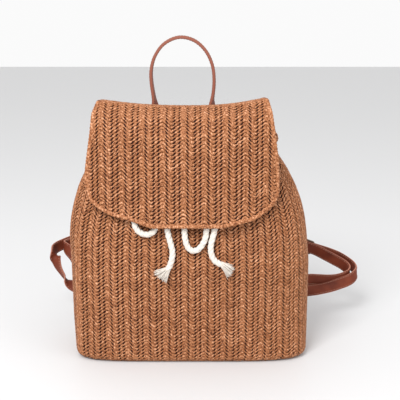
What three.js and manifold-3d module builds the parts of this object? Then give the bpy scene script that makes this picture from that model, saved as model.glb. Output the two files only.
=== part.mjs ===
// A woven straw backpack, standing on its flat base: a soft shell gathered at the neck by a cotton rope,
// a flap folded over the mouth, a leather carrying handle and two leather shoulder straps behind.
// Millimetres, +Z up. The front faces -Y, and the origin is the middle of the base, on the surface.

import * as THREE from 'three';
import { mergeVertices } from 'three/addons/utils/BufferGeometryUtils.js';
import Module from 'manifold-3d';

const wasm = await Module();
wasm.setup();

// Straw shell
const BODY_WIDTH = 288;
const BODY_DEPTH = 132;
const BODY_HEIGHT = 284;
const STRAW_WALL = 2.2;
const BASE_EDGE_RADIUS = 9;
const GATHER_DEPTH = 5;
const GATHER_COUNT = 18;
const GAP = 0.3;

// Neck casing and the cotton rope in it
const NECK_DROP = 20;
const CASING_HEIGHT = 19;
const CASING_WALL = 1.8;
const CASING_MOUTH = 56;
const CASING_SEAT = 0.9;
const ROPE_DIAMETER = 6.5;
const ROPE_SLACK = 0.8;

// Flap
const FLAP_WIDTH = 235;
const FLAP_DROP = 125.8;
const CROWN_RISE = 12.3;
const FLAP_WALL = 2.4;
const HEM_ROLL = 0.7;
const HEM_WIDTH = 5;
const LIFT_LEFT = 8.5;
const LIFT_RIGHT = 11.3;
const EDGE_DROOP = 2.2;
const EDGE_WRAP = 15;
const LIFT_POWER = 2.4;
const WRAP_POWER = 3;
const DROOP_POWER = 24;

// Carrying handle
const HANDLE_WIDTH = 12;
const HANDLE_THICKNESS = 2.8;
const HANDLE_SPAN = 74;
const HANDLE_RISE = 79.2;
const HANDLE_OFFSET = -8;
const HANDLE_TAIL = 7.1;

// Shoulder straps and their fittings
const STRAP_WIDTH = 15;
const STRAP_THICKNESS = 2.2;
const ANCHOR_SPREAD = 44;
const ANCHOR_DROP = 33;
const ANCHOR_LENGTH = 24;
const WIRE = 2.4;
const RING_OPENING = 6.6;
const RING_INSET = 30;
const RING_HEIGHT = 47;
const TAB_LENGTH = 26;
const SLIDER_PLATE = 1.8;
const SLIDER_BAR = 2;
const SLIDER_SLOT = 9;
const SLOT_PLAY = 1;
const RING_PLAY = 2;

const STRAW = new THREE.Color(0xa9714f);
const LEATHER = new THREE.Color(0x8a4a36);
const COTTON = new THREE.Color(0xefe6da);
const BRONZE = new THREE.Color(0x5b4a3c);

const material = (color, roughness, metalness = 0) =>
  new THREE.MeshStandardMaterial({ color, roughness, metalness });

const object = new THREE.Group();

function addPiece(name, geometry, finish) {
  const mesh = new THREE.Mesh(geometry, finish);
  mesh.name = name;
  object.add(mesh);
  return mesh;
}

// Closed solids from rings of points

// The signed volume of a closed mesh, above zero where its faces point outwards.
function signedVolume(points, faces) {
  const across = new THREE.Vector3();
  const part = ([a, b, c]) => points[a].dot(across.crossVectors(points[b], points[c])) / 6;
  return faces.reduce((sum, face) => sum + part(face), 0);
}

// A solid skinned over rings that each hold as many points, in order. Its two ends are closed by
// strips that join the first point of the ring to the last, the second to the last but one, and so on.
function skinSolid(rings, joined = false) {
  const size = rings[0].length;
  const points = rings.flat();
  const faces = [];
  const ringCount = joined ? rings.length : rings.length - 1;
  for (let ring = 0; ring < ringCount; ring += 1) {
    const here = ring * size;
    const there = ((ring + 1) % rings.length) * size;
    for (let i = 0; i < size; i += 1) {
      const j = (i + 1) % size;
      faces.push([here + i, here + j, there + j], [here + i, there + j, there + i]);
    }
  }
  if (!joined) {
    const last = (rings.length - 1) * size;
    for (let i = 0; i < size / 2 - 1; i += 1) {
      const [a, b, c, d] = [i, i + 1, size - 2 - i, size - 1 - i];
      faces.push([b, a, d], [last + a, last + b, last + c]);
      if (b !== c) faces.push([b, d, c], [last + a, last + c, last + d]);
    }
  }
  const turned = signedVolume(points, faces) < 0;
  const geometry = new THREE.BufferGeometry();
  const places = points.flatMap((point) => point.toArray());
  geometry.setAttribute('position', new THREE.Float32BufferAttribute(places, 3));
  geometry.setIndex(faces.flatMap(([a, b, c]) => (turned ? [a, c, b] : [a, b, c])));
  geometry.computeVertexNormals();
  return geometry;
}

// To and from the kernel that fuses and cuts solids.
function toManifold(geometry) {
  const plain = geometry.clone();
  plain.deleteAttribute('normal');
  plain.deleteAttribute('uv');
  const merged = mergeVertices(plain, 1e-4);
  return new wasm.Manifold(new wasm.Mesh({
    numProp: 3,
    vertProperties: new Float32Array(merged.attributes.position.array),
    triVerts: new Uint32Array(merged.index.array),
  }));
}

function fromManifold(solid) {
  const mesh = solid.getMesh();
  const geometry = new THREE.BufferGeometry();
  geometry.setAttribute('position', new THREE.BufferAttribute(new Float32Array(mesh.vertProperties), 3));
  geometry.setIndex(new THREE.BufferAttribute(new Uint32Array(mesh.triVerts), 1));
  geometry.computeVertexNormals();
  return geometry;
}

// The value of a column of a table at a place between its rows, on straight lines.
function between(rows, key, column, place) {
  const next = rows.findIndex((row) => row[key] >= place);
  if (next <= 0) return next === 0 ? rows[0][column] : rows[rows.length - 1][column];
  const [low, high] = [rows[next - 1], rows[next]];
  const share = (place - low[key]) / (high[key] - low[key]);
  return low[column] + (high[column] - low[column]) * share;
}

// Straw body

// A row for each section: its height as a share of the body's, and its reach to each side as a share of
// half the width or depth.
const BODY_SECTIONS = [
  { height: 0.000, left: 0.966, right: 0.998, front: 1.010, back: 0.925 },
  { height: 0.160, left: 0.984, right: 1.008, front: 1.034, back: 0.940 },
  { height: 0.380, left: 0.989, right: 1.010, front: 1.050, back: 0.945 },
  { height: 0.515, left: 0.999, right: 0.986, front: 1.030, back: 0.930 },
  { height: 0.585, left: 0.985, right: 0.967, front: 0.995, back: 0.910 },
  { height: 0.655, left: 0.955, right: 0.932, front: 0.950, back: 0.890 },
  { height: 0.722, left: 0.916, right: 0.883, front: 0.895, back: 0.865 },
  { height: 0.775, left: 0.869, right: 0.828, front: 0.840, back: 0.840 },
  { height: 0.824, left: 0.812, right: 0.763, front: 0.780, back: 0.815 },
  { height: 0.880, left: 0.725, right: 0.700, front: 0.705, back: 0.785 },
  { height: 0.930, left: 0.668, right: 0.648, front: 0.650, back: 0.760 },
  { height: 0.965, left: 0.658, right: 0.638, front: 0.650, back: 0.755 },
  { height: 1.000, left: 0.684, right: 0.663, front: 0.660, back: 0.730 },
];

// How square the corners are at a height, in front and behind, and how deep the gathers are there.
const BODY_CORNERS = [
  { height: 0.000, frontLeft: 5.4, frontRight: 5.0, rear: 4.4, gather: 0 },
  { height: 0.160, frontLeft: 4.2, frontRight: 3.6, rear: 4.4, gather: 0 },
  { height: 0.380, frontLeft: 3.9, frontRight: 3.3, rear: 4.4, gather: 0 },
  { height: 0.585, frontLeft: 3.5, frontRight: 3.1, rear: 4.8, gather: 0 },
  { height: 0.655, frontLeft: 3.3, frontRight: 3.0, rear: 5.0, gather: 0.05 },
  { height: 0.722, frontLeft: 3.1, frontRight: 2.9, rear: 5.2, gather: 0.25 },
  { height: 0.824, frontLeft: 2.7, frontRight: 2.7, rear: 5.6, gather: 0.75 },
  { height: 0.880, frontLeft: 2.6, frontRight: 2.6, rear: 5.8, gather: 0.70 },
  { height: 0.930, frontLeft: 2.5, frontRight: 2.5, rear: 6.0, gather: 0.30 },
  { height: 0.965, frontLeft: 2.5, frontRight: 2.5, rear: 6.0, gather: 0.60 },
  { height: 1.000, frontLeft: 2.5, frontRight: 2.5, rear: 6.0, gather: 1.00 },
];
const BODY_COLUMNS = 72;
const EDGE_STEPS = 3;

const halfWidth = BODY_WIDTH / 2;
const halfDepth = BODY_DEPTH / 2;

function sectionAt(height, inset = 0) {
  const place = height / BODY_HEIGHT;
  const reach = (column) => between(BODY_SECTIONS, 'height', column, place);
  const corner = (column) => between(BODY_CORNERS, 'height', column, place);
  return {
    left: reach('left') * halfWidth - inset,
    right: reach('right') * halfWidth - inset,
    front: reach('front') * halfDepth - inset,
    back: reach('back') * halfDepth - inset,
    frontLeft: corner('frontLeft'),
    frontRight: corner('frontRight'),
    rear: corner('rear'),
    gather: corner('gather') * GATHER_DEPTH,
  };
}

// The outline of one section, a superellipse whose four reaches and corners differ, run from the middle
// of the front round by the right.
class SectionLine extends THREE.Curve {
  constructor(section, height) {
    super();
    this.section = section;
    this.height = height;
    this.arcLengthDivisions = 360;
  }

  getPoint(share, target = new THREE.Vector3()) {
    const { left, right, front, back, frontLeft, frontRight, rear } = this.section;
    const side = Math.sin(share * 2 * Math.PI);
    const ahead = Math.cos(share * 2 * Math.PI);
    const acrossReach = side >= 0 ? right : left;
    const alongReach = ahead >= 0 ? front : back;
    const frontSquare = side >= 0 ? frontRight : frontLeft;
    const square = ahead >= 0 ? frontSquare : rear;
    const across = Math.abs(side / acrossReach) ** square;
    const along = Math.abs(ahead / alongReach) ** square;
    const reach = (across + along) ** (-1 / square);
    return target.set(reach * side, -reach * ahead, this.height);
  }
}

// The point of a section at a share of its length, moved out square to the outline. The outline's way
// there is taken between two points a short share to either side.
const OUTLINE_STEP = 0.004;
function outlinePoint(line, share, out = 0) {
  const point = line.getPointAt(share);
  const ahead = line.getPointAt((share + OUTLINE_STEP) % 1);
  const tangent = ahead.sub(line.getPointAt((share + 1 - OUTLINE_STEP) % 1));
  return point.add(new THREE.Vector3(tangent.y, -tangent.x, 0).normalize().multiplyScalar(out));
}

function bodyRing(height, inset, edgeHeight = height) {
  const section = sectionAt(height, inset);
  const line = new SectionLine(section, edgeHeight);
  return Array.from({ length: BODY_COLUMNS }, (_, column) => {
    const share = column / BODY_COLUMNS;
    const pleat = (1 - Math.cos(share * GATHER_COUNT * 2 * Math.PI)) / 2;
    return outlinePoint(line, share, -section.gather * pleat);
  });
}

// One face of the shell from the base up, its lower edge turned on a quarter round.
function bodyFace(inset) {
  const radius = BASE_EDGE_RADIUS - inset;
  const edge = Array.from({ length: EDGE_STEPS + 1 }, (_, step) => {
    const turn = (step / EDGE_STEPS) * (Math.PI / 2);
    return bodyRing(0, inset + radius * (1 - Math.sin(turn)), inset + radius * (1 - Math.cos(turn)));
  });
  const sections = BODY_SECTIONS.filter(({ height }) => height * BODY_HEIGHT > BASE_EDGE_RADIUS);
  return [...edge, ...sections.map(({ height }) => bodyRing(height * BODY_HEIGHT, inset))];
}

const straw = material(STRAW, 0.85);
addPiece('bag_body', skinSolid([...bodyFace(STRAW_WALL), ...bodyFace(0).reverse()]), straw);

// How far the body's front or back wall stands from the middle plane at a point across it.
function wallAt(x, height, behind) {
  const section = sectionAt(Math.min(height, BODY_HEIGHT));
  const frontSquare = x >= 0 ? section.frontRight : section.frontLeft;
  const square = behind ? section.rear : frontSquare;
  const reach = behind ? section.back : section.front;
  const across = Math.min(Math.abs(x) / (x >= 0 ? section.right : section.left), 1);
  return reach * (1 - across ** square) ** (1 / square);
}

// Neck casing

const ropeRadius = ROPE_DIAMETER / 2;
const ropeOut = CASING_SEAT + ROPE_SLACK + ropeRadius;
const casingInside = ropeOut + ropeRadius + ROPE_SLACK;
const CASING_STEPS = 42;
const CASING_ARC = 5;

const neckHeight = BODY_HEIGHT - NECK_DROP;
const neckLine = new SectionLine(sectionAt(neckHeight), neckHeight);
const mouthShare = CASING_MOUTH / 2 / neckLine.getLength();

// The casing's section is an arch off the wall: its outer face one way and its inner face back.
function casingRing(share) {
  const arch = (halfHeight, depth, step) => {
    const turn = (step / CASING_ARC - 0.5) * Math.PI;
    const height = neckHeight + halfHeight * Math.sin(turn);
    const out = CASING_SEAT + depth * Math.cos(turn);
    return outlinePoint(new SectionLine(sectionAt(height), height), share, out);
  };
  const steps = Array.from({ length: CASING_ARC + 1 }, (_, step) => step);
  const outer = steps.map((step) => arch(CASING_HEIGHT / 2, casingInside + CASING_WALL, step));
  const inner = steps.map((step) => arch(CASING_HEIGHT / 2 - CASING_WALL, casingInside, step));
  return [...outer, ...inner.reverse()];
}

const casingRings = Array.from({ length: CASING_STEPS + 1 }, (_, step) =>
  casingRing(mouthShare + (1 - 2 * mouthShare) * (step / CASING_STEPS)));
addPiece('neck_casing', skinSolid(casingRings), straw);

// Flap

// A row for each line across the flap, from its seam on the back over the mouth to the hem in front:
// its depth as a share of half the body's, its drop below the crown as a share of the flap's, which is
// less than nothing where the fold stands higher in front than behind, its reach
// to each side as a share of half the flap's width, and its lift and wrap at the side edges.
const FLAP_ROWS = [
  { depth: 0.770, drop: 0.163, left: 0.765, right: 0.725, lift: 0.00, wrap: 0.0 },
  { depth: 0.785, drop: 0.108, left: 0.785, right: 0.742, lift: 0.10, wrap: 0.0 },
  { depth: 0.745, drop: 0.062, left: 0.825, right: 0.760, lift: 0.30, wrap: 0.0 },
  { depth: 0.575, drop: 0.012, left: 0.862, right: 0.762, lift: 0.75, wrap: 0.1 },
  { depth: 0.230, drop: -0.010, left: 0.868, right: 0.764, lift: 0.85, wrap: 0.1 },
  { depth: -0.180, drop: -0.039, left: 0.878, right: 0.768, lift: 0.85, wrap: 0.2 },
  { depth: -0.620, drop: -0.064, left: 0.893, right: 0.776, lift: 0.75, wrap: 0.4 },
  { depth: -0.890, drop: 0.016, left: 0.932, right: 0.808, lift: 0.40, wrap: 0.6 },
  { depth: -1.035, drop: 0.175, left: 0.950, right: 0.838, lift: 0.10, wrap: 0.8 },
  { depth: -1.072, drop: 0.410, left: 0.991, right: 0.872, lift: 0.00, wrap: 0.9 },
  { depth: -1.105, drop: 0.590, left: 1.016, right: 0.885, lift: 0.00, wrap: 1.0 },
  { depth: -1.135, drop: 0.720, left: 0.987, right: 0.884, lift: 0.00, wrap: 1.0 },
  { depth: -1.155, drop: 0.790, left: 0.960, right: 0.855, lift: 0.00, wrap: 1.0 },
  { depth: -1.165, drop: 0.845, left: 0.890, right: 0.802, lift: 0.00, wrap: 0.85 },
  { depth: -1.175, drop: 0.900, left: 0.762, right: 0.708, lift: 0.00, wrap: 0.50 },
  { depth: -1.182, drop: 0.942, left: 0.560, right: 0.615, lift: 0.00, wrap: 0.22 },
  { depth: -1.186, drop: 0.972, left: 0.465, right: 0.480, lift: 0.00, wrap: 0.10 },
  { depth: -1.190, drop: 1.000, left: 0.365, right: 0.340, lift: 0.00, wrap: 0.03 },
];
const FLAP_COLUMNS = 24;
const crownHeight = BODY_HEIGHT + CROWN_RISE;
const halfFlap = FLAP_WIDTH / 2;

// Across the flap the columns are even, but for one at the inner side of the hem at each edge.
function flapShares(reach) {
  const hem = 1 - HEM_WIDTH / reach;
  const middle = Array.from({ length: FLAP_COLUMNS - 1 }, (_, column) =>
    hem * ((2 * column) / (FLAP_COLUMNS - 2) - 1));
  return [-1, ...middle, 1];
}

// The flap's outer face, lying on the body's walls where it would otherwise sink into them. Over the
// mouth its middle sags between the two sides, whose very edges turn down.
function flapPoint(row, share) {
  const x = share * halfFlap * (share < 0 ? row.left : row.right);
  const rise = (share < 0 ? LIFT_LEFT : LIFT_RIGHT) * Math.abs(share) ** LIFT_POWER;
  const droop = EDGE_DROOP * Math.abs(share) ** DROOP_POWER;
  const z = crownHeight - FLAP_DROP * row.drop + row.lift * (rise - droop);
  const free = row.depth * halfDepth + EDGE_WRAP * row.wrap * Math.abs(share) ** WRAP_POWER;
  if (z > BODY_HEIGHT) return new THREE.Vector3(x, free, z);
  const behind = row.depth > 0;
  const slope = (wallAt(x + 1, z, behind) - wallAt(x - 1, z, behind)) / 2;
  const wall = behind ? FLAP_WALL : FLAP_WALL + HEM_ROLL;
  const seat = (GAP + wall) * Math.hypot(1, Math.min(Math.abs(slope), 1));
  const lying = wallAt(x, z, behind) + seat;
  return new THREE.Vector3(x, behind ? Math.max(free, lying) : Math.min(free, -lying), z);
}

const flapGrid = FLAP_ROWS.map((row) =>
  flapShares(halfFlap * (row.left + row.right) / 2).map((share) => flapPoint(row, share)));

// The flap's inner face: the outer one moved in by the wall, square to the line from seam to hem.
function flapInner(row, column, wall) {
  const before = flapGrid[Math.max(row - 1, 0)][column];
  const after = flapGrid[Math.min(row + 1, flapGrid.length - 1)][column];
  const along = after.clone().sub(before).setX(0).normalize();
  const inward = new THREE.Vector3(0, -along.z, along.y).multiplyScalar(wall);
  return flapGrid[row][column].clone().add(inward);
}

// The wall is thicker at the rolled hem, which runs round the two sides and the front.
function flapRing(row) {
  const columns = flapGrid[row].map((_, column) => column);
  const rolled = (column) => column === 0 || column === FLAP_COLUMNS || row === flapGrid.length - 1;
  const outer = columns.map((column) => flapInner(row, column, rolled(column) ? -HEM_ROLL : 0));
  const wall = (column) => FLAP_WALL + (rolled(column) ? HEM_ROLL : 0);
  const inner = columns.map((column) => flapInner(row, column, wall(column)));
  return [...outer, ...inner.reverse()];
}

addPiece('flap', skinSolid(flapGrid.map((_, row) => flapRing(row))), straw);

// Leather strips

// A flat strip along stations that each hold a point and the way that the strip's width runs there.
// The width is turned square to the strip's own direction.
function stripSolid(stations, width, thickness) {
  const rings = stations.map(({ point, across }, i) => {
    const before = stations[Math.max(i - 1, 0)].point;
    const after = stations[Math.min(i + 1, stations.length - 1)].point;
    const along = after.clone().sub(before).normalize();
    const side = across.clone().addScaledVector(along, -across.dot(along)).normalize();
    const face = new THREE.Vector3().crossVectors(along, side);
    const corner = (w, t) => point.clone()
      .addScaledVector(side, w * width / 2)
      .addScaledVector(face, t * thickness / 2);
    return [corner(-1, -1), corner(1, -1), corner(1, 1), corner(-1, 1)];
  });
  return skinSolid(rings);
}

// Stations at even steps on a smooth curve through the rows of a route.
function routeStations(rows, steps) {
  const points = new THREE.CatmullRomCurve3(rows.map(({ point }) => point), false, 'centripetal');
  const sides = new THREE.CatmullRomCurve3(rows.map(({ across }) => across), false, 'centripetal');
  return Array.from({ length: steps + 1 }, (_, step) => {
    const place = points.getUtoTmapping(step / steps);
    return { point: points.getPoint(place), across: sides.getPoint(place).normalize() };
  });
}

const leather = material(LEATHER, 0.5);

// Carrying handle

// A row for each bend of the handle: across as a share of half its span, height as a share of its rise
// above the crown, and the turn of its width from front-to-back (0) to side-to-side (90 degrees).
const HANDLE_ROWS = [
  { across: -0.85, rise: -0.160, turn: 90 },
  { across: -0.87, rise: -0.105, turn: 62 },
  { across: -0.89, rise: -0.040, turn: 28 },
  { across: -0.92, rise: 0.040, turn: 10 },
  { across: -0.97, rise: 0.130, turn: 5 },
  { across: -1.04, rise: 0.300, turn: 3 },
  { across: -1.06, rise: 0.480, turn: 1 },
  { across: -0.94, rise: 0.700, turn: 0 },
  { across: -0.62, rise: 0.900, turn: 0 },
  { across: -0.12, rise: 1.000, turn: 0 },
  { across: 0.38, rise: 0.950, turn: 0 },
  { across: 0.76, rise: 0.790, turn: 0 },
  { across: 0.98, rise: 0.570, turn: 1 },
  { across: 1.04, rise: 0.340, turn: 3 },
  { across: 1.01, rise: 0.130, turn: 5 },
  { across: 0.98, rise: 0.040, turn: 10 },
  { across: 0.97, rise: -0.040, turn: 28 },
  { across: 0.97, rise: -0.105, turn: 62 },
  { across: 0.97, rise: -0.160, turn: 90 },
];
const HANDLE_STEPS = 42;

// The face of the flap's back at a point across it, which the handle's ends lie on.
function flapBack(x, z) {
  const place = (crownHeight - z) / FLAP_DROP;
  const rows = FLAP_ROWS.slice(0, 3).reverse();
  const free = between(rows, 'drop', 'depth', place) * halfDepth;
  return Math.max(free, wallAt(x, z, true) + GAP + FLAP_WALL);
}

const handleSeats = [-1, 1].flatMap((side) => FLAP_ROWS.slice(0, 3).map(({ drop }) =>
  flapBack(HANDLE_OFFSET + side * HANDLE_SPAN / 2, crownHeight - FLAP_DROP * drop)));
const handleDepth = Math.max(...handleSeats) + GAP + HANDLE_THICKNESS / 2;

function handleRoute() {
  const loop = HANDLE_ROWS.map(({ across, rise, turn }) => {
    const angle = THREE.MathUtils.degToRad(turn);
    const x = HANDLE_OFFSET + across * HANDLE_SPAN / 2;
    return {
      point: new THREE.Vector3(x, handleDepth, crownHeight + rise * HANDLE_RISE),
      across: new THREE.Vector3(Math.sin(angle), Math.cos(angle), 0),
    };
  });
  const tail = (row) => ({
    point: row.point.clone().setZ(row.point.z - HANDLE_TAIL),
    across: row.across.clone(),
  });
  return [tail(loop[0]), ...loop, tail(loop[loop.length - 1])];
}

const handleStations = routeStations(handleRoute(), HANDLE_STEPS);
addPiece('handle', stripSolid(handleStations, HANDLE_WIDTH, HANDLE_THICKNESS), leather);

// Cotton rope

// The rope's line, whose even steps fall on its listed points.
class RopeLine extends THREE.CatmullRomCurve3 {
  getUtoTmapping(share) {
    return share;
  }
}

// A round tube with a ring at each point of its line.
const ROPE_SIDES = 8;
function ropeSolid(points) {
  const section = new THREE.Shape(Array.from({ length: ROPE_SIDES }, (_, corner) => {
    const angle = (corner + 0.5) * 2 * Math.PI / ROPE_SIDES;
    return new THREE.Vector2(ropeRadius * Math.cos(angle), ropeRadius * Math.sin(angle));
  }));
  const extrudePath = new RopeLine(points, false, 'centripetal');
  return new THREE.ExtrudeGeometry(section, { steps: points.length - 1, bevelEnabled: false, extrudePath });
}

// The routes are drawn for one height of the neck, and move with it.
const DRAWN_NECK_HEIGHT = 264;
const asPoints = (rows) => rows.map(([x, y, z]) => new THREE.Vector3(x, y, z + neckHeight - DRAWN_NECK_HEIGHT));

// The knot sits in the casing's mouth, at the middle of the front.
const KNOT_DROP = 2;
const KNOT_CENTRE = new THREE.Vector3(-3, -56.5, neckHeight - KNOT_DROP);
const KNOT_SIZE = new THREE.Vector3(25, 15, 20);

const cotton = material(COTTON, 0.9);
const knot = new THREE.SphereGeometry(0.5, 14, 8);
knot.scale(KNOT_SIZE.x, KNOT_SIZE.y, KNOT_SIZE.z);
addPiece('drawstring_knot', knot, cotton).position.copy(KNOT_CENTRE);

// The routes of the rope, point by point.
const ROPE_ROUTES = {
  bow_loop_left: [
    [-16, -60.2, 259], [-24, -60.8, 250], [-36, -61.5, 233], [-48, -64, 212], [-58, -66.3, 192],
    [-61.5, -67.6, 178], [-60.5, -68.6, 169.5], [-56.5, -69.3, 164], [-51.5, -69.6, 161.4],
    [-46, -69.8, 161], [-40.8, -69.6, 163.6], [-37.4, -69.1, 169], [-34.5, -68.4, 178],
    [-30.5, -66.7, 193], [-25, -62.8, 213], [-18.5, -56.8, 236], [-12.8, -54, 252.3]],
  bow_loop_right: [
    [-3.5, -52.6, 251.5], [-4, -55, 236], [-4.8, -61.5, 213], [-5.4, -66.6, 193], [-5, -69.2, 173],
    [-4.2, -70.8, 158], [-2, -71.5, 148.6], [1.4, -71.8, 143.6], [5.8, -71.9, 142],
    [10.6, -71.8, 143.6], [15.2, -71.5, 148.6], [19, -70.8, 156.6], [20.4, -69.6, 170],
    [18.5, -67.3, 193], [13, -64.6, 213], [7.5, -62, 236], [3.2, -60.6, 251.8]],
  rope_tail_left: [
    [-6.1, -60.4, 252.4], [-8.8, -62.4, 236], [-13.4, -65.2, 213], [-19.2, -67.8, 193],
    [-24.4, -69.4, 173], [-23, -70.5, 160], [-20.4, -71.3, 150], [-18.5, -71.8, 140],
    [-19.6, -72.2, 130.5], [-22, -72.4, 123.8], [-25, -72.5, 118]],
  rope_tail_right: [
    [6.9, -54.4, 255.3], [14.4, -55, 244], [22, -59.4, 224], [28, -64.1, 203], [31, -67.6, 185],
    [30.2, -69.4, 170], [28.2, -70.4, 160], [25.7, -71.2, 150], [25.3, -71.7, 142.5],
    [27, -72, 135], [30.5, -72.1, 129.6], [35.2, -72.1, 126.6], [40.8, -72, 124.8]],
};

for (const [name, points] of Object.entries(ROPE_ROUTES)) {
  addPiece(name, ropeSolid(asPoints(points)), cotton);
}

// The run in the casing goes all the way round the neck and comes forward to the knot's two sides, a
// little behind its middle and above it.
const NECK_POINTS = 27;
const KNOT_ENTRY = new THREE.Vector3(KNOT_SIZE.x / 2 - 0.4, 3, 1);
const knotSide = (side) => KNOT_CENTRE.clone().add(KNOT_ENTRY.clone().setX(side * KNOT_ENTRY.x));
const neckRun = Array.from({ length: NECK_POINTS + 1 }, (_, step) =>
  outlinePoint(neckLine, mouthShare + (1 - 2 * mouthShare) * (step / NECK_POINTS), ropeOut));
addPiece('drawstring_neck', ropeSolid([knotSide(1), ...neckRun, knotSide(-1)]), cotton);

// Frayed ends

// A row for each lock of frayed cotton: its lean across the fan in degrees, and its length.
const FRAY_LOCKS = [
  { lean: -40, length: 0.95 },
  { lean: -21, length: 1.08 },
  { lean: -3, length: 1.00 },
  { lean: 16, length: 1.10 },
  { lean: 36, length: 0.92 },
];
const FRAY_LENGTH = 14;
const FRAY_HEAD = 3;

// A lock's sections: how far along it, its half width and its half thickness.
const LOCK_SECTIONS = [
  { far: 0.0, half: 1.5, thick: 1.6 },
  { far: 0.8, half: 2.4, thick: 1.2 },
  { far: 1.0, half: 1.7, thick: 0.8 },
];

// One lock, thin at the rope and widest near its tip.
function lockRings({ lean, length }, along, side, start) {
  const angle = THREE.MathUtils.degToRad(lean);
  const way = along.clone().multiplyScalar(Math.cos(angle)).addScaledVector(side, Math.sin(angle));
  const across = side.clone().multiplyScalar(Math.cos(angle)).addScaledVector(along, -Math.sin(angle));
  const depth = new THREE.Vector3().crossVectors(along, side);
  return LOCK_SECTIONS.map(({ far, half, thick }) =>
    Array.from({ length: 6 }, (_, corner) => {
      const turn = corner * Math.PI / 3;
      return start.clone()
        .addScaledVector(way, far * length * FRAY_LENGTH)
        .addScaledVector(across, half * Math.cos(turn))
        .addScaledVector(depth, thick * Math.sin(turn));
    }));
}

// The locks are fused to a short head of rope, which starts a gap past the end of its tail.
function frayedEnd(tail) {
  const points = asPoints(ROPE_ROUTES[tail]);
  const end = points[points.length - 1];
  const along = end.clone().sub(points[points.length - 2]).normalize();
  const side = new THREE.Vector3(0, 1, 0).cross(along).normalize();
  const start = end.clone().addScaledVector(along, GAP);
  const head = new THREE.CylinderGeometry(ropeRadius * 0.95, ropeRadius, FRAY_HEAD, 8);
  head.translate(0, FRAY_HEAD / 2, 0);
  head.applyQuaternion(new THREE.Quaternion().setFromUnitVectors(new THREE.Vector3(0, 1, 0), along));
  head.translate(...start.toArray());
  const root = start.clone().addScaledVector(along, FRAY_HEAD * 0.4);
  const fused = FRAY_LOCKS.reduce(
    (sum, lock) => sum.add(toManifold(skinSolid(lockRings(lock, along, side, root)))), toManifold(head));
  return fromManifold(fused);
}

addPiece('frayed_end_left', frayedEnd('rope_tail_left'), cotton);
addPiece('frayed_end_right', frayedEnd('rope_tail_right'), cotton);

// Shoulder straps

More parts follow.
